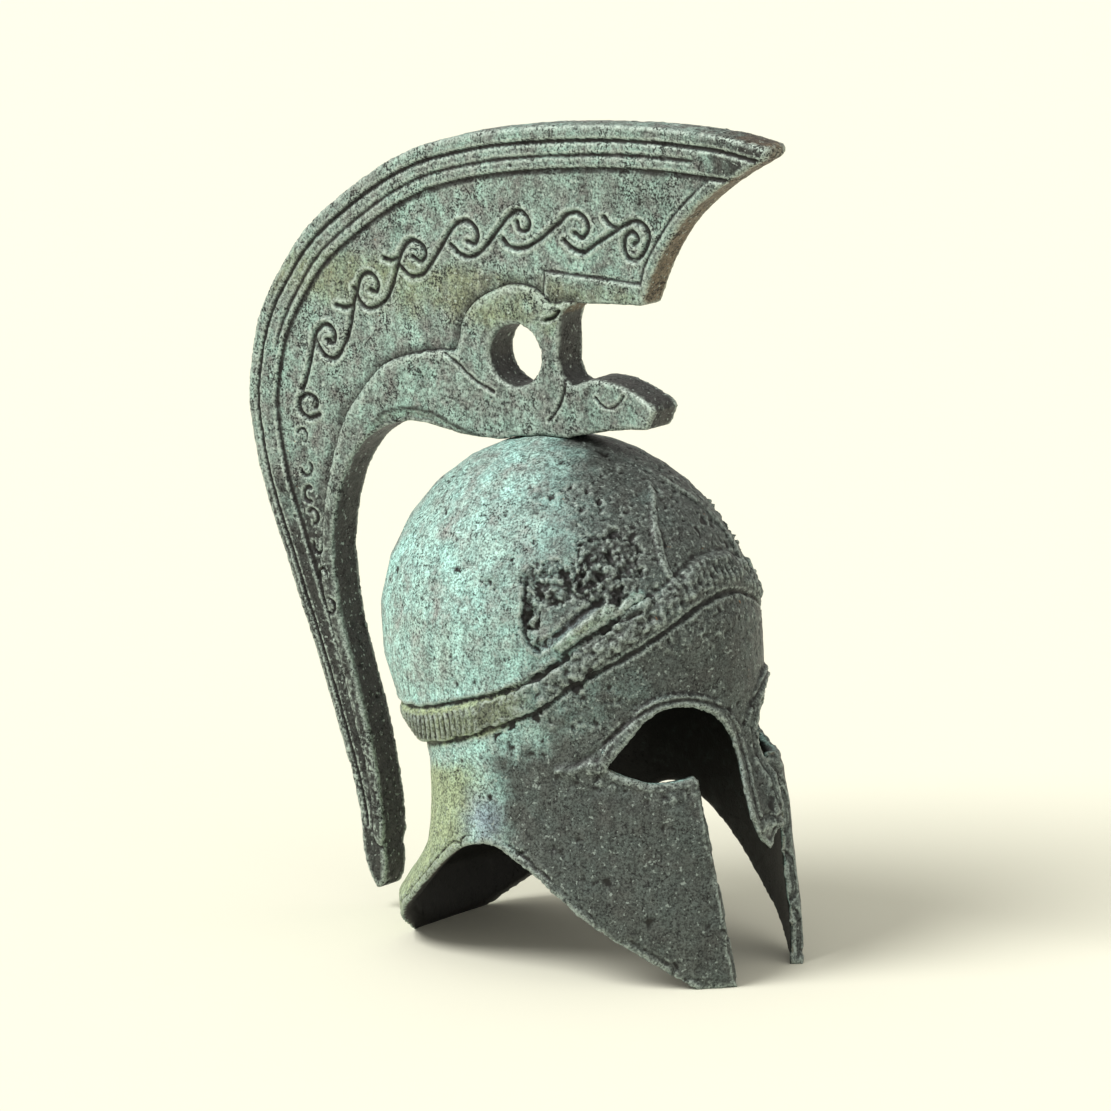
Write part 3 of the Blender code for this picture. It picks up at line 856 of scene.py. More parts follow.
SHELL_BRONZE = AgedBronze(
    name="shell_bronze",
    pale=(0.35, 0.61, 0.56),
    middle=(0.285, 0.39, 0.345),
    dull=(0.22, 0.235, 0.22),
    shade=(0.044, 0.047, 0.043),
    hollow=(0.008, 0.008, 0.007),
    crust=(0.085, 0.100, 0.090),
    worn_and_highlight=(0.36, 0.43, 0.39),
    warm=(0.27, 0.32, 0.17),
    tint=(0.27, 0.36, 0.46),
    edge=(0.16, 0.12, 0.07),
    blotch=95.0,
    pale_share=0.58,
    dull_share=0.36,
    pores=0.5,
    coarse=0.35,
    bump=0.20,
)

CREST_BRONZE = AgedBronze(
    name="crest_bronze",
    pale=(0.27, 0.42, 0.36),
    middle=(0.20, 0.25, 0.22),
    dull=(0.15, 0.155, 0.143),
    shade=(0.019, 0.018, 0.017),
    hollow=(0.010, 0.009, 0.008),
    crust=(0.10, 0.105, 0.10),
    worn_and_highlight=(0.50, 0.60, 0.53),
    warm=(0.19, 0.22, 0.11),
    tint=(0.30, 0.42, 0.50),
    edge=(0.115, 0.082, 0.046),
    blotch=125.0,
    pale_share=0.52,
    dull_share=0.45,
    pores=0.8,
    coarse=0.5,
    bump=0.26,
)

PIN_BRONZE = PlainBronze(name="pin_bronze", colour=(0.30, 0.22, 0.11), dark=(0.09, 0.07, 0.045))


# The pieces.


@dataclass
class HelmetShell:
    """The hollow casting: dome, band, eye rims, nose guard, cheeks and neck guard."""

    frame: dict
    axis_y: float
    cell: float = 0.76
    inner_share: float = 0.12
    relief_limit: float = 1.1
    rope_pitch: float = 1.35
    band_half: float = 2.5
    rim_width: float = 1.5
    # Height of the dome's middle, and the least and greatest radius that a turn is measured on.
    middle_height: float = 56.0
    radii: Point = (12.0, 34.0)
    # How much a rim's skin faces outwards at least, its wall at most, and the wall's least depth.
    rim_skin: float = 0.55
    rim_wall: float = 0.30
    rim_depth: float = 1.2
    # Turn from the front in degrees, and height. The band's middle line, its ridges and the lines by it.
    band: Path = (
        (0, 71.0), (9, 70.3), (14, 68.9), (25, 65.8), (35, 62.9), (44, 59.2), (56, 54.3), (66, 50.7),
        (77, 47.6), (89, 45.3), (103, 43.0), (118, 41.4), (140, 40.4), (180, 40.0),
    )
    upper_ridge: Path = ((56, 60.2), (53, 61.6), (48, 63.6), (42, 65.5), (36, 66.8), (31, 68.0))
    ridge_crack: Path = ((57, 58.0), (53, 59.5), (48, 61.4), (42, 63.3), (36, 64.9), (31, 66.0))
    under_band: Path = (
        (180, 36.8), (140, 37.2), (118, 38.2), (102, 40.0), (90, 42.1), (77, 44.8), (66, 47.5), (58, 50.3),
        (50, 53.6), (42, 56.3), (35, 58.5), (27, 61.2), (19, 63.8), (9, 66.2), (0, 67.0),
    )
    over_band: Path = (
        (180, 43.4), (140, 43.8), (117, 44.9), (101, 47.0), (90, 48.7), (80, 50.2), (69, 52.6), (63, 54.7),
        (54, 58.2),
    )
    blue_groove: Path = ((64, 59.4), (58, 61.1), (53, 63.7), (47, 66.2), (43, 68.0))
    brow_ridge: Path = ((6, 85.0), (16, 80.6), (19, 76.9), (20, 73.1), (18, 69.8))
    eye_line: Path = ((58, 36.6), (45, 41.9), (38, 45.9), (31, 48.8), (23, 50.3), (15, 49.8), (5, 47.4))
    hook: Path = ((70, 22.6), (66, 23.6), (59, 23.7), (58, 25.2))
    rear_cracks: Sequence[Path] = (((127, 51.0), (125, 48.6), (124, 46.0)), ((121, 50.0), (120.5, 46.5)))
    patch_brink: Path = ((68.5, 71.0), (69, 67.6), (66, 65.2), (68.5, 63.0), (67, 60.4), (63, 58.7))
    # Middle, half width and half height of the corroded patches.
    patches: Sequence[tuple[float, float, float, float]] = (
        (61.0, 70.6, 8.5, 3.0),
        (66.5, 65.6, 3.0, 4.0),
        (45.5, 73.4, 6.0, 5.2),
        (37.0, 74.6, 8.0, 4.2),
        (41.0, 69.6, 7.0, 2.4),
    )
    single_pits: Sequence[tuple[float, float, float]] = (
        (62, 83.8, 1.3), (52, 85.1, 0.9), (43, 84.7, 1.1), (76, 73.8, 1.0), (83, 69.5, 1.4), (81, 68.6, 0.9),
        (88, 69.0, 0.8), (68, 76.7, 0.9), (51, 82.6, 0.9), (57, 84.6, 0.8), (47, 82.0, 1.1), (38, 83.0, 1.2),
    )
    # Where the fine hatching fans out, and the bluish bloom beside it: turn and height.
    fan_centre: Point = (92.0, 24.0)
    bloom: Point = (84.0, 28.0)

    def build(self, patina: bpy.types.NodeTree, grain: bpy.types.NodeTree) -> bpy.types.Object:
        """Models and dresses the shell.

        Args:
            patina: The mottling group.
            grain: The grain group.

        Returns:
            The finished piece.
        """
        source = copy_of_node(self.frame, "helmet_shell", "shell_source")
        rims = self.rim_points(source)
        piece = copy_of_node(self.frame, "helmet_shell", "bronze_shell")
        apply_modifier(piece, "REMESH", mode="VOXEL", voxel_size=self.cell * MM)
        centres = self.from_axis(read_rows(piece.data.polygons, "center"))
        outward = self.outwardness(centres, read_rows(piece.data.polygons, "normal"))
        thin_out(piece, outward < -0.35, self.inner_share)
        self.refine_relief(piece, rims)
        apply_modifier(piece, "SHRINKWRAP", wrap_method="NEAREST_SURFACEPOINT", target=source)
        apply_modifier(piece, "SMOOTH", factor=0.5, iterations=2)
        bpy.data.objects.remove(source)
        self.carve(piece, rims)
        dress(piece, SHELL_BRONZE.material(patina, grain))
        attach(piece, "root")
        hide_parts("helmet_shell")
        return piece

    def from_axis(self, places: np.ndarray) -> np.ndarray:
        """Turns places in metres into millimetres from the dome's axis.

        Args:
            places: One row for each place.

        Returns:
            The same places.
        """
        return places / MM - np.array([0.0, self.axis_y, 0.0])

    def outwardness(self, places: np.ndarray, normals: np.ndarray) -> np.ndarray:
        """Tells the outer skin from the inner one.

        Args:
            places: The places, in millimetres from the axis.
            normals: Their directions.

        Returns:
            1 for each place that faces away from the axis and -1 for one that faces it.
        """
        middle = np.zeros_like(places)
        middle[:, 2] = np.minimum(places[:, 2], self.middle_height)
        away = places - middle
        away /= np.maximum(np.linalg.norm(away, axis=1), 1e-9)[:, None]
        return (away * normals).sum(axis=1)

    @staticmethod
    def turns(places: np.ndarray) -> np.ndarray:
        """Measures the turn of each place from the front, in degrees, the same on both sides.

        Args:
            places: The places, in millimetres from the axis.

        Returns:
            0 in front and 180 at the rear.
        """
        return np.degrees(np.arctan2(np.abs(places[:, 0]), -places[:, 1]))

    def radius(self, places: np.ndarray) -> np.ndarray:
        """Measures the distance from the axis on which a turn at each place is measured.

        Args:
            places: The places, in millimetres from the axis.

        Returns:
            The distance, in millimetres, kept between the two radii.
        """
        return np.clip(np.hypot(places[:, 0], places[:, 1]), *self.radii)

    def unrolled(self, places: np.ndarray) -> np.ndarray:
        """Lays the skin flat: distance round from the front and height, in millimetres.

        Args:
            places: The places, in millimetres from the axis.

        Returns:
            One row of two numbers for each place.
        """
        return np.column_stack([np.radians(self.turns(places)) * self.radius(places), places[:, 2]])

    def gap_to(self, places: np.ndarray, path: Path) -> np.ndarray:
        """Measures the distance on the skin from each place to a line.

        Args:
            places: The places, in millimetres from the axis.
            path: The line's points, as turns and heights.

        Returns:
            The distance, in millimetres.
        """
        line = smooth_line(path)
        scale = np.radians(self.radius(places))
        spots = np.column_stack([self.turns(places), places[:, 2]])
        near = np.full(len(places), FAR)
        for start, end in zip(line, line[1:]):
            along = end - start
            across = along[0] * scale
            length = np.maximum(across**2 + along[1] ** 2, 1e-9)
            offset = (spots[:, 0] - start[0]) * scale
            share = np.clip((offset * across + (spots[:, 1] - start[1]) * along[1]) / length, 0.0, 1.0)
            near = np.minimum(
                near, np.hypot(offset - share * across, spots[:, 1] - start[1] - share * along[1])
            )
        return near

    def rim_points(self, source: bpy.types.Object) -> KDTree:
        """Finds the outer rims of the openings on the true shape.

        Args:
            source: The merged copy of the node.

        Returns:
            A tree of points along those rims, in millimetres from the axis.
        """
        mesh = bmesh.new()
        mesh.from_mesh(source.data)
        found = []
        for edge in mesh.edges:
            if len(edge.link_faces) != 2:
                continue
            normals = [np.array(face.normal) for face in edge.link_faces]
            middle = (edge.verts[0].co + edge.verts[1].co) / 2
            place = self.from_axis(np.array([middle]))
            first, second = (float(self.outwardness(place, normal[None])[0]) for normal in normals)
            if max(first, second) < self.rim_skin or min(first, second) > self.rim_wall:
                continue
            walls = [f for f, o in zip(edge.link_faces, (first, second)) if o <= self.rim_wall]
            if self.wall_reach(walls[0], edge) < self.rim_depth:
                continue
            steps = max(1, int(edge.calc_length() / (EDGE_STEP * MM)))
            for k in range(steps + 1):
                spot = edge.verts[0].co.lerp(edge.verts[1].co, k / steps)
                found.append(self.from_axis(np.array([spot]))[0])
        mesh.free()
        return tree_of(found)

    @staticmethod
    def wall_reach(face: bmesh.types.BMFace, edge: bmesh.types.BMEdge) -> float:
        """Measures how far a cut wall reaches from a rim, in millimetres.

        Args:
            face: A face of the wall.
            edge: The rim's edge.

        Returns:
            The furthest distance of the face's corners from the edge's line.
        """
        start = edge.verts[0].co
        along = (edge.verts[1].co - start).normalized()
        gaps = [((v.co - start) - along * (v.co - start).dot(along)).length for v in face.verts]
        return max(gaps) / MM

    @staticmethod
    def rim_gap(places: np.ndarray, rims: KDTree) -> np.ndarray:
        """Measures the distance of each place from the nearest opening's rim.

        Args:
            places: The places, in millimetres from the axis.
            rims: The tree of rim points.

        Returns:
            The distance, in millimetres.
        """
        return np.array([rims.find(place)[2] for place in places])

    def refine_relief(self, piece: bpy.types.Object, rims: KDTree) -> None:
        """Makes the net finer where the relief is rich.

        Args:
            piece: The shell.
            rims: The tree of rim points.
        """
        places = self.from_axis(read_rows(piece.data.polygons, "center"))
        outward = self.outwardness(places, read_rows(piece.data.polygons, "normal"))
        turn = self.turns(places)
        near_band = self.gap_to(places, self.band) < 4.6
        corroded = (turn < 86) & (places[:, 2] > 44) & (places[:, 2] < 88)
        near_rim = self.rim_gap(places, rims) < 3.0
        refine(piece, (outward > 0.25) & (near_band | corroded | near_rim))

    def carve(self, piece: bpy.types.Object, rims: KDTree) -> None:
        """Gives the shell its relief and masks.

        Args:
            piece: The shell.
            rims: The tree of rim points.
        """
        relief = Relief(piece, self.axis_y)
        places = relief.places
        outward = self.outwardness(places, relief.normals)
        skin = ease(0.25, 0.55, outward)
        turn = self.turns(places)
        height = places[:, 2]
        rim = self.rim_gap(places, rims)
        wander = relief.cloud(7.0, 3.0, 3)

        relief.out += relief.cloud(14.0, 1.0) * 0.22 * skin + relief.cloud(3.2, 2.0, 2) * 0.06
        brink = ease(2.8, 1.4, rim)
        corroded = self.corrosion(relief, turn, height, skin * (1 - 0.8 * brink), wander)
        self.carve_band(relief, turn, skin)
        self.carve_patches(relief, turn, height, skin)
        self.carve_rims(relief, rim, turn, height, skin)
        relief.groove(self.gap_to(places, self.eye_line) + 0.25 * wander, 0.9, 0.30, skin, 0.75)
        relief.groove(self.gap_to(places, self.hook), 0.7, 0.35, skin)
        for crack in self.rear_cracks:
            relief.groove(self.gap_to(places, crack) + 0.2 * wander, 0.45, 0.25, skin)
        relief.ridge(self.gap_to(places, self.brow_ridge) + 0.35 * wander, 1.5, 0.45, skin)
        ragged = relief.cloud(0.9, 61.0, 2)
        for turn_at, height_at, size in self.single_pits:
            arm = np.radians(turn - turn_at) * np.hypot(places[:, 0], places[:, 1])
            relief.hole(np.hypot(arm, height - height_at) * (1 + 0.9 * ragged), 0.8 * size, 0.4, skin)
        self.scratch_fan(relief, turn, height, skin)

        under = self.under_gap(places)
        front = ease(104.0, 44.0, turn + 16.0 * wander - 0.25 * np.clip(under, 0.0, 30.0))
        face = front * ease(-1.0, 4.0, under + 2.0 * wander)
        deep = 0.50 + 0.42 * ease(46.0, 32.0, height)
        relief.mark(Mark.SHADE, face * deep * skin)
        relief.mark(Mark.SHADE, ease(112.0, 10.0, turn + 8.0 * wander) * 0.60 * skin)
        relief.mark(Mark.CRUST, corroded * 0.8)
        warm = ease(4.4, 2.2, self.gap_to(places, self.band)) * ease(55.0, 85.0, turn) * 0.95
        neck = ease(0.0, 8.0, under) * ease(72.0, 104.0, turn) * 0.80
        relief.mark(Mark.WARM, np.maximum(warm, neck) * skin)
        crown = ease(2.2, 0.9, self.gap_to(places, self.upper_ridge) + 0.5 * wander)
        relief.marks[Mark.SHADE] *= 1 - 0.5 * crown
        relief.marks[Mark.CRUST] *= 1 - 0.8 * crown
        relief.mark(Mark.WARM, crown * 0.36 * skin)
        haze = np.hypot(np.radians(turn - self.bloom[0]) * 28.0, (height - self.bloom[1]) * 0.8)
        bloom = ease(10.0, -1.0, haze + 2.5 * wander) * skin
        relief.mark(Mark.TINT, bloom * 0.54)
        relief.marks[Mark.SHADE] *= 1 - 0.65 * bloom
        # Painted shade: cut faces that look forwards, away from the key light, get the dark brown edge
        # colour.
        relief.mark(Mark.EDGE, (1 - skin) * ease(0.0, -0.6, relief.normals[:, 1]) * 0.8)
        # Painted shade: the inner skin, which faces the axis, is painted near black.
        relief.mark(Mark.HOLLOW_AND_SHADE, ease(0.25, -0.25, outward) * 0.9)
        relief.give(self.relief_limit)

    def scratch_fan(self, relief: Relief, turn: np.ndarray, height: np.ndarray, skin: np.ndarray) -> None:
        """Scratches fine lines that fan out above the rear of the cheek.

        Args:
            relief: The relief to change.
            turn: Turn of each point from the front.
            height: Height of each point.
            skin: 1 on the outer skin.
        """
        ahead = np.radians(self.fan_centre[0] - turn) * 27.0
        up = height - self.fan_centre[1]
        reach = np.hypot(ahead, up)
        angle = np.arctan2(up, np.maximum(ahead, 0.01))
        window = ease(4.0, 7.0, reach) * ease(13.0, 9.0, reach)
        window = window * ease(-0.7, -0.4, angle) * ease(0.9, 0.5, angle)
        relief.out -= window * skin * 0.10 * (0.5 + 0.5 * np.cos(angle * 46.0))

    def under_gap(self, places: np.ndarray) -> np.ndarray:
        """Measures how far each place lies under the band's lower edge.

        Args:
            places: The places, in millimetres from the axis.

        Returns:
            The height under the edge, below zero over it.
        """
        turn, height = zip(*sorted(self.under_band))
        return np.interp(self.turns(places), turn, height) - places[:, 2]

    def corrosion(
        self, relief: Relief, turn: np.ndarray, height: np.ndarray, skin: np.ndarray, wander: np.ndarray
    ) -> np.ndarray:
        """Roughens the skin, most of all on the forehead and the face.

        Args:
            relief: The relief to change.
            turn: Turn of each point from the front.
            height: Height of each point.
            skin: 1 on the outer skin.
            wander: Soft noise for each point.

        Returns:
            How corroded each point is, from 0 to 1.
        """
        dome = ease(66.0, 30.0, turn + 12.0 * wander) * ease(50.0, 62.0, height)
        face = ease(95.0, 50.0, turn + 10.0 * wander) * ease(58.0, 46.0, height) * ease(26.0, 36.0, height)
        cheek = ease(95.0, 70.0, turn) * ease(36.0, 26.0, height)
        amount = np.maximum.reduce([dome * 0.38, face * 0.45, cheek * 0.16]) * skin
        lumps = relief.cells(2.1, 11.0)
        relief.out += amount * (0.55 - lumps) * 0.55
        relief.out += amount * relief.cloud(0.9, 12.0) * 0.22
        relief.pits(2.0, 21.0, 0.55, np.clip(amount * 1.3, 0.0, 1.0), 0.36)
        relief.pits(3.1, 22.0, 0.35, skin * 0.8, 0.10)
        relief.mark(Mark.HOLLOW_AND_SHADE, ease(0.62, 0.95, lumps) * amount * 0.8)
        return amount

    def carve_band(self, relief: Relief, turn: np.ndarray, skin: np.ndarray) -> None:
        """Shapes the brow band: rope at the rear, and two ridges with a channel in front.

        Args:
            relief: The relief to change.
            turn: Turn of each point from the front.
            skin: 1 on the outer skin.
        """
        places = relief.places
        gap = self.gap_to(places, self.band)
        wander = relief.cloud(2.6, 31.0, 2)
        inside_band = ease(self.band_half * 1.05, self.band_half * 0.75, gap) * skin
        along = self.unrolled(places)
        rope = np.cos(2 * math.pi * (along[:, 0] - 0.25 * along[:, 1]) / self.rope_pitch)
        where = inside_band * ease(84.0, 96.0, turn + 6.0 * wander)
        relief.out += rope * 0.22 * where
        relief.mark(Mark.HOLLOW_AND_SHADE, ease(-0.1, -1.0, rope) * where * 0.75)
        relief.mark(Mark.SHADE, inside_band * 0.34)
        rough = inside_band * ease(100.0, 84.0, turn)
        relief.out += rough * (wander * 0.35 + (0.45 - relief.cells(2.4, 33.0)) * 0.5)

        self.carve_brow(relief, turn, gap, skin, wander)

    def carve_brow(
        self, relief: Relief, turn: np.ndarray, gap: np.ndarray, skin: np.ndarray, wander: np.ndarray
    ) -> None:
        """Cuts the lines along the band and shapes its corroded stretch over the temple.

        Args:
            relief: The relief to change.
            turn: Turn of each point from the front.
            gap: Distance of each point from the band's middle line.
            skin: 1 on the outer skin.
            wander: Soft noise for each point.
        """
        places = relief.places
        crusty = ease(2.9, 2.2, gap) * ease(24.0, 32.0, turn) * ease(70.0, 58.0, turn) * skin
        lumps = relief.cells(1.8, 32.0)
        relief.out += crusty * ((0.45 - lumps) * 0.9 - 0.1)
        relief.mark(Mark.CRUST, crusty * 0.9)
        relief.groove(self.gap_to(places, self.over_band) + 0.3 * wander, 1.1, 0.55, skin)
        relief.groove(self.gap_to(places, self.under_band) + 0.3 * wander, 1.2, 0.5, skin, 0.9)
        relief.groove(self.gap_to(places, self.ridge_crack) + 0.4 * wander, 0.9, 0.5, skin, 0.9)
        relief.ridge(self.gap_to(places, self.upper_ridge) + 1.1 * wander, 4.0, 0.75, skin)
        blue = self.gap_to(places, self.blue_groove)
        relief.groove(blue + 0.3 * wander, 2.0, 0.6, skin, 0.5)
        relief.mark(Mark.TINT, ease(1.4, 0.6, blue) * 0.36 * skin)
        fine_rope = np.cos(2 * math.pi * self.unrolled(places)[:, 0] / (self.rope_pitch * 1.2))
        relief.out += fine_rope * 0.10 * ease(2.7, 2.0, gap) * ease(36.0, 28.0, turn) * skin

    def carve_patches(self, relief: Relief, turn: np.ndarray, height: np.ndarray, skin: np.ndarray) -> None:
        """Eats the corroded patches into the side of the dome.

        Args:
            relief: The relief to change.
            turn: Turn of each point from the front.
            height: Height of each point.
            skin: 1 on the outer skin.
        """
        edge = relief.cloud(2.6, 41.0, 3) * 0.5
        plates = ease(-0.05, 0.22, relief.cloud(3.2, 45.0, 2))
        inside = np.zeros(len(turn))
        for turn_at, height_at, across, up in self.patches:
            reach = np.hypot((turn - turn_at) / across, (height - height_at) / up) + edge
            inside = np.maximum(inside, ease(1.15, 0.85, reach))
        inside = inside * skin
        eaten = inside * (1 - 0.5 * plates)
        grit = relief.cells(1.5, 42.0)
        relief.out += eaten * ((0.38 - grit) * 1.8 + relief.cloud(0.8, 43.0) * 0.35)
        relief.out += inside * plates * 0.15
        brink = inside * (1 - inside) * 4
        relief.out -= brink * 0.5
        relief.mark(Mark.HOLLOW_AND_SHADE, brink * 0.7)
        relief.mark(Mark.HOLLOW_AND_SHADE, eaten * ease(0.28, 0.52, grit))
        relief.mark(Mark.CRUST, eaten * 0.55)
        relief.pits(1.8, 44.0, 0.8, eaten, 0.42)
        gap = self.gap_to(relief.places, self.patch_brink) + 0.6 * np.abs(edge)
        relief.groove(gap, 1.2, 0.7, skin)

    def carve_rims(
        self, relief: Relief, rim: np.ndarray, turn: np.ndarray, height: np.ndarray, skin: np.ndarray
    ) -> None:
        """Raises the borders that follow the openings, and lightens them with painted highlights and wear.

        Args:
            relief: The relief to change.
            rim: Distance of each point from the nearest rim.
            turn: Turn of each point from the front.
            height: Height of each point.
            skin: 1 on the outer skin.
        """
        wander = relief.cloud(2.0, 51.0, 2)
        gap = rim + 0.12 * wander
        low = ease(26.0, 23.0, height)
        clean = low * ease(58.0, 64.0, turn)
        gap = np.where(low > 0.5, rim + 0.04 * wander, gap)
        strip = ease(self.rim_width, self.rim_width * 0.75, gap) * skin
        relief.out += strip * (0.16 - 0.08 * low) * (1 + wander * (1 - low))
        beside = np.abs(gap - self.rim_width * 1.18)
        relief.groove(beside, 0.8, 0.30, skin * clean, 0.6)
        relief.groove(beside, 0.8, 0.14, skin * low * (1 - clean), 0.3)
        nose = ease(24.0, 14.0, turn) * ease(52.0, 47.0, height)
        relief.out += nose * strip * 0.12
        relief.groove(np.abs(gap - 2.3), 0.8, 0.25, skin * nose, 0.6)
        # The raised strips and the nose strip are lightened: painted highlights and rubbed bronze.
        relief.mark(Mark.WORN_AND_HIGHLIGHT, strip * ease(-0.1, 0.5, wander) * (0.35 - 0.3 * low))
        relief.mark(Mark.WORN_AND_HIGHLIGHT, nose * strip * 0.5)


@dataclass
class PlumeCrest:
    """The plume slab with its wave scrolls, and the serpent that carries it."""

    frame: dict
    axis_y: float
    cell: float = 0.56
    half_plume: float = 3.2
    relief_limit: float = 1.3
    stroke: float = 1.35
    stroke_depth: float = 0.5
    # How deep the sunk parts lie at least and at most, and how far a point of the plume's face may be off it.
    sunk: Point = (0.1, 0.8)
    face_slack: float = 0.22
    # The wave scrolls, from the front down to the tail: distance behind the axis and height. Each stroke
    # starts under the curl behind it, sweeps forwards and ends in its own curl.
    waves: Sequence[Path] = (
        ((-1.4, 126.0), (-3.1, 124.8), (-5.7, 124.4), (-8.3, 126.1), (-10.9, 127.8), (-13.0, 129.3),
         (-14.7, 130.3), (-16.8, 131.1), (-19.0, 130.1), (-19.4, 128.1), (-18.6, 126.0), (-17.0, 124.3),
         (-15.2, 124.4), (-14.2, 126.2), (-14.6, 128.3), (-16.2, 129.0), (-17.2, 127.8), (-16.3, 127.0)),
        ((12.0, 124.8), (10.7, 123.5), (8.5, 123.3), (6.3, 124.0), (3.7, 125.6), (1.6, 127.4), (-0.4, 129.0),
         (-2.0, 130.6), (-4.0, 131.1), (-5.9, 130.2), (-6.5, 128.4), (-5.2, 126.9), (-3.7, 127.5)),
        ((23.3, 122.4), (21.1, 120.9), (18.9, 120.6), (16.7, 121.8), (14.6, 124.1), (12.4, 126.8),
         (10.2, 129.2), (8.1, 130.1), (6.2, 128.6), (6.6, 126.8), (8.2, 126.6), (8.8, 128.0)),
        ((34.6, 117.4), (32.1, 115.7), (29.4, 116.3), (27.7, 118.3), (25.9, 120.9), (24.2, 123.4),
         (22.4, 125.8), (20.5, 126.9), (18.4, 126.5), (17.3, 124.9), (18.0, 123.1), (19.6, 123.3)),
        ((44.5, 112.2), (43.1, 109.6), (40.9, 108.8), (37.8, 110.5), (36.1, 113.6), (34.9, 117.2),
         (33.8, 120.1), (32.0, 122.1), (29.8, 121.7), (28.8, 120.0), (29.9, 118.5), (31.6, 119.2)),
        ((53.4, 102.2), (51.4, 99.4), (48.9, 98.9), (47.0, 101.1), (45.6, 104.4), (44.8, 108.5),
         (43.9, 111.8), (43.0, 114.3), (41.1, 115.2), (39.3, 113.8), (39.6, 112.0), (41.0, 112.2)),
        ((56.0, 92.4), (54.9, 95.2), (53.9, 99.4), (52.9, 103.2), (50.8, 104.8), (48.9, 103.7), (49.2, 101.8),
         (50.5, 102.0)),
        ((52.4, 88.3), (54.6, 87.5), (56.5, 88.6), (56.6, 90.6), (54.8, 91.7), (53.0, 90.9), (53.1, 89.5)),
        ((-10.0, 130.9), (-11.3, 129.7), (-13.0, 129.3)),
        ((37.8, 118.2), (36.4, 118.0), (34.6, 118.6)),
        ((48.4, 108.6), (46.6, 108.3), (44.8, 109.0)),
    )
    # The line where the serpent's body passes under its loop.
    body_edge: Path = ((24.0, 103.2), (20.6, 101.2), (17.0, 98.9), (13.2, 97.5))
    middle_line: float = 5.3
    head_crease: Path = ((-1.2, 104.0), (-2.1, 101.2), (-1.9, 98.7), (-0.4, 95.5), (1.3, 93.7))
    head_eye: Path = ((-8.8, 99.0), (-10.3, 97.8), (-12.0, 97.5), (-13.7, 98.6), (-14.8, 100.1))
    notch: Path = ((2.4, 111.4), (0.6, 112.0), (-0.9, 113.4))
    belly: Path = ((40.6, 87.5), (38.0, 90.3), (34.5, 91.7), (30.5, 92.3), (26.6, 92.0), (23.1, 90.8),
                   (19.6, 89.8), (15.5, 88.9))
    dots: Sequence[tuple[float, float, float]] = ((29.0, 98.1, 1.3), (5.2, 115.1, 0.9), (12.0, 91.6, 0.9))
    tail_marks: Sequence[tuple[float, float, float]] = (
        (56.2, 84.0, 20.0), (55.2, 78.2, 130.0), (54.6, 73.6, 250.0), (53.8, 69.6, 40.0), (52.6, 64.4, 160.0),
        (51.2, 59.4, 300.0), (49.4, 54.0, 80.0),
    )

    def build(self, patina: bpy.types.NodeTree, grain: bpy.types.NodeTree) -> bpy.types.Object:
        """Models and dresses the crest.

        Args:
            patina: The mottling group.
            grain: The grain group.

        Returns:
            The finished piece.
        """
        node = self.frame["nodes"]["crest"]
        true_shape = BVHTree.FromPolygons(
            [v.co.copy() for v in node.data.vertices], [tuple(p.vertices) for p in node.data.polygons]
        )
        piece = copy_of_node(self.frame, "crest", "bronze_crest")
        self.press_out_floors(piece)
        apply_modifier(piece, "REMESH", mode="VOXEL", voxel_size=self.cell * MM)
        self.refine_lines(piece)
        self.carve(piece, true_shape)
        dress(piece, CREST_BRONZE.material(patina, grain))
        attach(piece, "root")
        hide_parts("crest")
        return piece

    def press_out_floors(self, piece: bpy.types.Object) -> None:
        """Levels the sunk field and border lines, which are carved again on the finer net.

        Args:
            piece: The merged copy of the crest.
        """
        mesh = piece.data
        for face in mesh.polygons:
            depth = self.half_plume - abs(face.center.x) / MM
            if abs(face.normal.x) < 0.99 or not self.sunk[0] < depth < self.sunk[1]:
                continue
            for index in face.vertices:
                mesh.vertices[index].co.x = math.copysign(self.half_plume * MM, face.center.x)
        mesh.update()

    def lines(self) -> list[np.ndarray]:
        """Lists the engraved lines of the plume.

        Returns:
            Each line's points, as distances behind the axis and heights.
        """
        return [smooth_line(wave, 4) for wave in self.waves]

    def marks_on_tail(self) -> list[np.ndarray]:
        """Lists the small hooks down the tail.

        Returns:
            Each hook's points.
        """
        found = []
        for y, z, start in self.tail_marks:
            angles = np.radians(np.arange(start, start + 230, 20))
            found.append(np.column_stack([y + 1.1 * np.cos(angles), z + 1.3 * np.sin(angles)]))
        return found

    def nearest(self, places: np.ndarray, lines: Iterable[np.ndarray]) -> np.ndarray:
        """Measures the distance from each place to the nearest of some lines.

        Args:
            places: The places, in millimetres from the axis.
            lines: The lines.

        Returns:
            The distance, in millimetres.
        """
        flat = places[:, 1:]
        gap = np.full(len(places), FAR)
        for line in lines:
            low, high = line.min(axis=0) - 3.0, line.max(axis=0) + 3.0
            near = ((flat > low) & (flat < high)).all(axis=1)
            gap[near] = np.minimum(gap[near], distance_to_line(flat[near], line))
        return gap

    def all_lines(self) -> list[np.ndarray]:
        """Lists every line that needs a fine net.

        Returns:
            Each line's points.
        """
        edges = (self.body_edge, self.head_crease, self.head_eye, self.notch)
        return self.lines() + self.marks_on_tail() + [smooth_line(edge) for edge in edges]

    def refine_lines(self, piece: bpy.types.Object) -> None:
        """Makes the net finer along the engraved lines and the border grooves.

        Args:
            piece: The crest.
        """
        places = read_rows(piece.data.polygons, "center") / MM
        places[:, 1] -= self.axis_y
        side = np.abs(read_rows(piece.data.polygons, "normal")[:, 0]) > 0.7
        gap = self.nearest(places, self.all_lines())
        middle = np.abs(self.back_gap(places) - self.middle_line) < 0.9
        refine(piece, side & (middle | (gap < 1.3) | (self.wall_gap(places) < 0.9)))

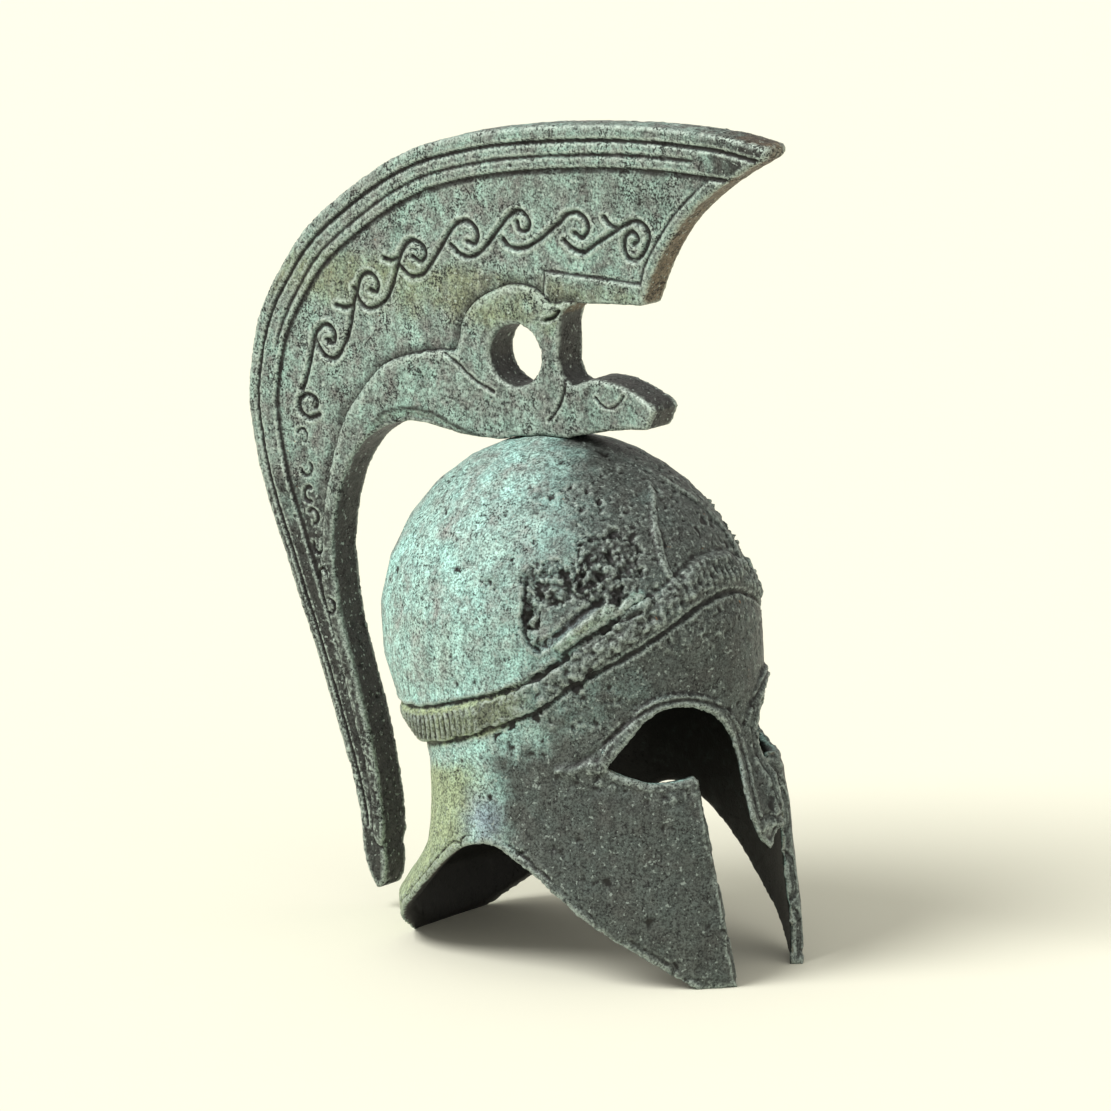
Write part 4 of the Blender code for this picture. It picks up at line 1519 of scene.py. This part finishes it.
    def wall_gap(self, places: np.ndarray) -> np.ndarray:
        """Measures the distance from each place to the walls of the engraving on the true shape.

        Args:
            places: The places, in millimetres from the axis.

        Returns:
            The distance, in millimetres.
        """
        return self.gap_to_faces(places, lambda face: 2.7 < abs(face.center.x) / MM < self.half_plume - 0.02)

    def serpent_gap(self, places: np.ndarray) -> np.ndarray:
        """Measures the distance from each place to the foot of the raised serpent on the true shape.

        Args:
            places: The places, in millimetres from the axis.

        Returns:
            The distance, in millimetres.
        """
        top = self.half_plume + 0.45
        return self.gap_to_faces(places, lambda face: self.half_plume < abs(face.center.x) / MM < top, 0.96)

    def gap_to_faces(
        self, places: np.ndarray, wanted: Callable[[bpy.types.MeshPolygon], bool], flatness: float = 0.3
    ) -> np.ndarray:
        """Measures the distance, seen from the side, from each place to some sloping faces of the node.

        Args:
            places: The places, in millimetres from the axis.
            wanted: Tells whether a face is one of them.
            flatness: Leaves out faces that look to the side more than this.

        Returns:
            The distance, in millimetres.
        """
        mesh = self.frame["nodes"]["crest"].data
        spots = []
        for face in mesh.polygons:
            if abs(face.normal.x) > flatness or not wanted(face):
                continue
            corners = [mesh.vertices[i].co for i in face.vertices]
            for start, end in zip(corners, corners[1:] + corners[:1]):
                steps = max(1, int((end - start).length / (EDGE_STEP * MM)))
                spots += [start.lerp(end, k / steps) for k in range(steps)]
        tree = tree_of([(0.0, spot.y / MM - self.axis_y, spot.z / MM) for spot in spots])
        return np.array([tree.find((0.0, place[1], place[2]))[2] for place in places])

    def true_depth(self, relief: Relief, tree: BVHTree, where: np.ndarray) -> np.ndarray:
        """Reads how deep the true shape lies under the plume's face.

        Args:
            relief: The relief.
            tree: The true shape.
            where: True for the points to read.

        Returns:
            The depth for each point, in millimetres, softened over a short reach.
        """
        depth = np.zeros(len(relief.places))
        offsets = [(0.0, 0.0), (0.14, 0.0), (-0.14, 0.0), (0.0, 0.14), (0.0, -0.14)]
        for index in np.nonzero(where)[0]:
            x, y, z = relief.places[index]
            side = 1.0 if x > 0 else -1.0
            total = 0.0
            for dy, dz in offsets:
                start = Vector((side * 10 * MM, (y + dy + self.axis_y) * MM, (z + dz) * MM))
                hit = tree.ray_cast(start, Vector((-side, 0.0, 0.0)), 9 * MM)[0]
                if hit is not None:
                    total += min(max(self.half_plume - abs(hit.x) / MM, 0.0), 0.6)
            depth[index] = total / len(offsets)
        return depth

    def carve(self, piece: bpy.types.Object, true_shape: BVHTree) -> None:
        """Gives the crest its lines, relief and masks.

        Args:
            piece: The crest.
            true_shape: The node's own shape.
        """
        relief = Relief(piece, self.axis_y)
        places = relief.places
        side = ease(0.55, 0.85, np.abs(relief.normals[:, 0]))
        on_plume = (side > 0.9) & (np.abs(np.abs(places[:, 0]) - self.half_plume) < self.face_slack)
        places[on_plume, 0] = np.sign(places[on_plume, 0]) * self.half_plume
        relief.normals[on_plume] = np.sign(places[on_plume, :1]) * np.array([[1.0, 0.0, 0.0]])
        depth = self.true_depth(relief, true_shape, on_plume)
        relief.out -= depth
        wander = relief.cloud(2.2, 3.0, 3)
        wall = self.wall_gap(places) + 0.2 * np.abs(wander)
        relief.mark(Mark.HOLLOW_AND_SHADE, ease(0.38, 0.48, depth) * (0.75 + 0.3 * wander))
        # Painted shade at the foot of each engraved step, and a painted highlight along its brink.
        relief.mark(Mark.HOLLOW_AND_SHADE, ease(0.75, 0.15, wall) * ease(0.12, 0.25, depth) * 0.75)
        relief.mark(Mark.WORN_AND_HIGHLIGHT, ease(0.8, 0.2, wall) * ease(0.16, 0.08, depth) * on_plume * 0.9)

        relief.out += relief.cloud(11.0, 1.0) * 0.16 + relief.cloud(2.2, 2.0, 2) * 0.09
        line = self.nearest(places, self.lines()) + 0.15 * wander
        relief.groove(line, self.stroke, self.stroke_depth, side, 0.68 + 0.6 * wander)
        # Painted highlights along the lips of each stroke, which are also raised a little.
        lips = ease(1.35, 0.95, line) * side
        relief.mark(Mark.WORN_AND_HIGHLIGHT, lips * ease(0.55, 0.75, line))
        relief.out += lips * ease(0.5, 0.8, line) * 0.08
        hooks = self.nearest(places, self.marks_on_tail()) + 0.15 * wander
        relief.groove(hooks, 0.9, 0.4, side, 0.8)
        inset = self.back_gap(places)
        bounded = side * ease(96.0, 104.0, places[:, 2]) * ease(-31.0, -27.0, places[:, 1])
        relief.groove(np.abs(inset - self.middle_line) + 0.12 * wander, 1.1, 0.30, bounded, 0.7)
        for path, width, cut, dark in (
            (self.body_edge, 1.1, 0.30, 0.5),
            (self.head_crease, 0.9, 0.45, 0.9),
            (self.head_eye, 0.8, 0.35, 0.7),
            (self.notch, 1.1, 0.9, 1.0),
        ):
            gap = self.nearest(places, [smooth_line(path)])
            relief.groove(gap + 0.15 * wander, width, cut, side, dark)
        foot = ease(10.0, 11.5, inset) * ease(6.0, 3.5, places[:, 1]) * ease(116.5, 118.5, places[:, 2])
        relief.groove(wall, 1.2, 0.25, side * foot, 0.85)
        for y, z, size in self.dots:
            gap = np.hypot(places[:, 1] - y, places[:, 2] - z) + 0.15 * wander
            relief.groove(gap, size, 0.6, side)
        self.raise_serpent(relief, side, wander)
        self.bevel_belly(relief, side)
        self.corrode(relief, wander, inset)
        self.shade_edges(relief, side, wander, inset)
        relief.give(self.relief_limit)

    def raise_serpent(self, relief: Relief, side: np.ndarray, wander: np.ndarray) -> None:
        """Lifts the serpent off the field, with painted shadow along its foot and a painted highlight on its
        brink.

        Args:
            relief: The relief to change.
            side: 1 on the side faces.
            wander: Soft noise for each point.
        """
        width = np.abs(relief.places[:, 0])
        gap = self.serpent_gap(relief.places) + 0.15 * wander
        low = ease(3.45, 3.25, width) * side
        high = ease(3.45, 3.65, width)
        relief.out -= low * ease(1.1, 0.3, gap) * 0.20
        # Painted shadow on the field along the serpent's foot, and a painted highlight on its brink.
        relief.mark(Mark.HOLLOW_AND_SHADE, low * ease(0.9, 0.2, gap) * 0.8)
        relief.mark(Mark.SHADE, low * ease(3.2, 0.4, gap + 0.8 * wander) * 0.42)
        relief.mark(Mark.WORN_AND_HIGHLIGHT, high * ease(1.5, 0.6, gap) * (0.55 + 0.5 * wander))

    def bevel_belly(self, relief: Relief, side: np.ndarray) -> None:
        """Slopes the serpent's underside away below its belly line.

        Args:
            relief: The relief to change.
            side: 1 on the side faces.
        """
        line = smooth_line(self.belly)
        order = np.argsort(line[:, 0])
        y, z = relief.places[:, 1], relief.places[:, 2]
        top = np.interp(y, line[order, 0], line[order, 1])
        inside = ease(14.0, 17.0, y) * ease(42.0, 39.0, y)
        below = np.clip(top - z, 0.0, 3.0) * inside * (top - z < 6.0)
        relief.out -= below * 0.42 * side
        relief.mark(Mark.HOLLOW_AND_SHADE, ease(0.9, 0.1, np.abs(top - z)) * inside * side * 0.75)

    def corrode(self, relief: Relief, wander: np.ndarray, inset: np.ndarray) -> None:
        """Roughens the crest with lumps and pits, most of all along its border and on the serpent.

        Args:
            relief: The relief to change.
            wander: Soft noise for each point.
            inset: Distance of each point from the plume's back edge.
        """
        border = ease(9.5, 7.5, inset)
        serpent = ease(3.3, 3.6, np.abs(relief.places[:, 0]))
        amount = np.clip(0.35 + 0.6 * wander, 0.0, 1.0)
        amount = amount * np.clip(0.35 + 0.5 * border + 0.4 * serpent, 0.0, 1.0)
        lumps = relief.cells(1.6, 11.0)
        relief.out += amount * (0.45 - lumps) * 0.40
        relief.pits(1.5, 21.0, 0.40, amount, 0.26)
        relief.mark(Mark.CRUST, amount * 0.6)

    def back_gap(self, places: np.ndarray) -> np.ndarray:
        """Measures the distance to the plume's back edge on the true shape.

        Args:
            places: The places, in millimetres from the axis.

        Returns:
            The distance, in millimetres.
        """

        def on_back(face: bpy.types.MeshPolygon) -> bool:
            """Tells whether a face is part of the plume's back edge.

            Args:
                face: The face.

            Returns:
                True if it is.
            """
            if abs(face.center.x) / MM > 2.4:
                return False
            away = Vector((0.0, face.center.y / MM - self.axis_y - 5.0, face.center.z / MM - 95.0))
            return away.length > 38.0 and face.normal.dot(away.normalized()) > 0.6

        return self.gap_to_faces(places, on_back)

    def shade_edges(self, relief: Relief, side: np.ndarray, wander: np.ndarray, inset: np.ndarray) -> None:
        """Darkens the slab's edges, the tail and the plume's tip.

        Args:
            relief: The relief to change.
            side: 1 on the side faces.
            wander: Soft noise for each point.
            inset: Distance of each point from the plume's back edge.
        """
        y, height = relief.places[:, 1], relief.places[:, 2]
        edge = ease(0.8, 0.4, side)
        forward = ease(0.2, -0.5, relief.normals[:, 1]) * ease(112.0, 114.0, height)
        relief.mark(Mark.SHADE, edge * (1 - forward) * ease(1.0, 3.0, inset) * 0.95)
        # Painted shade: edge faces that look forwards, away from the key light, get the dark brown edge
        # colour.
        relief.mark(Mark.EDGE, edge * forward * 0.9)
        tail = ease(92.0, 40.0, height + 8.0 * wander)
        relief.mark(Mark.SHADE, tail)
        relief.marks[Mark.WORN_AND_HIGHLIGHT] *= 1 - 0.9 * tail
        relief.marks[Mark.CRUST] *= 1 - 0.8 * tail
        relief.mark(Mark.SHADE, ease(-20.0, -48.0, y + 4.0 * wander) * ease(118.0, 124.0, height) * 0.7)
        relief.mark(Mark.SHADE, ease(24.0, -26.0, y) * 0.14)
        relief.mark(Mark.WARM, ease(122.0, 116.0, height) * ease(104.0, 112.0, height) * side * 0.45)


@dataclass
class CrestPin:
    """The hidden pin, which keeps its own shape."""

    frame: dict

    def build(self) -> bpy.types.Object:
        """Dresses the pin.

        Returns:
            The node itself.
        """
        node = self.frame["nodes"]["crest_pin"]
        node.data.materials.clear()
        node.data.materials.append(PIN_BRONZE.material())
        return node


@dataclass
class Studio:
    """The pale floor, the soft lights and the camera."""

    frame_pixels: int = 1111
    focal_pixels: float = 11428.6
    turn: float = -53.8
    rise: float = 12.64
    distance: float = 2.0
    target: tuple[float, float, float] = (-1.34, 1.51, 69.17)
    floor_size: float = 8.0
    sensor: float = 36.0
    far_end: float = 30.0
    light_colour: Colour = (1.0, 0.99, 0.97)

    def build(self, axis_y: float) -> None:
        """Makes the stage.

        Args:
            axis_y: Place of the dome's axis, in millimetres.
        """
        self.floor()
        self.light("key", (-66.0, 50.0), 2.9, 30.0)
        self.light("fill", (35.0, 25.0), 0.35, 60.0)
        self.surroundings()
        self.camera(axis_y)

    def floor(self) -> None:
        """Lays the floor."""
        bpy.ops.mesh.primitive_plane_add(size=self.floor_size, location=(0.0, 0.0, 0.0))
        plane = bpy.context.active_object
        plane.name = "floor"
        made = bpy.data.materials.new("pale_floor")
        made.use_nodes = True
        surface = made.node_tree.nodes["Principled BSDF"]
        surface.inputs["Base Color"].default_value = (0.79, 0.785, 0.665, 1.0)
        surface.inputs["Roughness"].default_value = 0.9
        surface.inputs["Specular IOR Level"].default_value = 0.1
        plane.data.materials.append(made)

    def light(self, name: str, aim: Point, strength: float, softness: float) -> None:
        """Adds a soft light from afar.

        Args:
            name: The light's name.
            aim: Its turn from the camera to the left, in degrees, and its height over the floor.
            strength: Its strength.
            softness: Its width, in degrees.
        """
        lamp = bpy.data.lights.new(name, "SUN")
        lamp.energy = strength
        lamp.angle = math.radians(softness)
        lamp.color = self.light_colour
        holder = bpy.data.objects.new(name, lamp)
        bpy.context.scene.collection.objects.link(holder)
        towards = direction(self.turn + aim[0], aim[1])
        holder.rotation_euler = towards.to_track_quat("Z", "Y").to_euler()

    @staticmethod
    def surroundings() -> None:
        """Fills the room with a pale even light."""
        world = bpy.data.worlds.new("room")
        world.use_nodes = True
        background = world.node_tree.nodes["Background"]
        background.inputs["Color"].default_value = (1.0, 0.97, 0.90, 1.0)
        background.inputs["Strength"].default_value = 0.62
        bpy.context.scene.world = world

    def camera(self, axis_y: float) -> None:
        """Places the camera where the photograph was taken from.

        Args:
            axis_y: Place of the dome's axis, in millimetres.
        """
        back = direction(self.turn, self.rise)
        x, y, z = self.target
        aim = Vector((x, y + axis_y, z)) * MM
        lens = bpy.data.cameras.new("camera")
        lens.sensor_fit = "HORIZONTAL"
        lens.sensor_width = self.sensor
        lens.lens = self.sensor * self.focal_pixels / self.frame_pixels
        lens.clip_end = self.far_end
        holder = bpy.data.objects.new("camera", lens)
        bpy.context.scene.collection.objects.link(holder)
        holder.location = aim + back * self.distance
        holder.rotation_euler = back.to_track_quat("Z", "Y").to_euler()
        bpy.context.scene.camera = holder
        bpy.context.scene.view_settings.view_transform = "Standard"


def main() -> None:
    """Builds the pieces in order."""
    logging.basicConfig(level=logging.INFO, format="%(message)s")
    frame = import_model()
    low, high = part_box("crest_pin")
    axis_y = (low.y + high.y) / 2 / MM - PIN_BEHIND_AXIS
    patina, grain = patina_group(), grain_group()
    shell = HelmetShell(frame, axis_y).build(patina, grain)
    crest = PlumeCrest(frame, axis_y).build(patina, grain)
    pin = CrestPin(frame).build()
    for piece in (shell, crest, pin):
        log.info("%s: %d faces", piece.name, len(piece.data.polygons))
    Studio().build(axis_y)


if __name__ == "__main__":
    main()
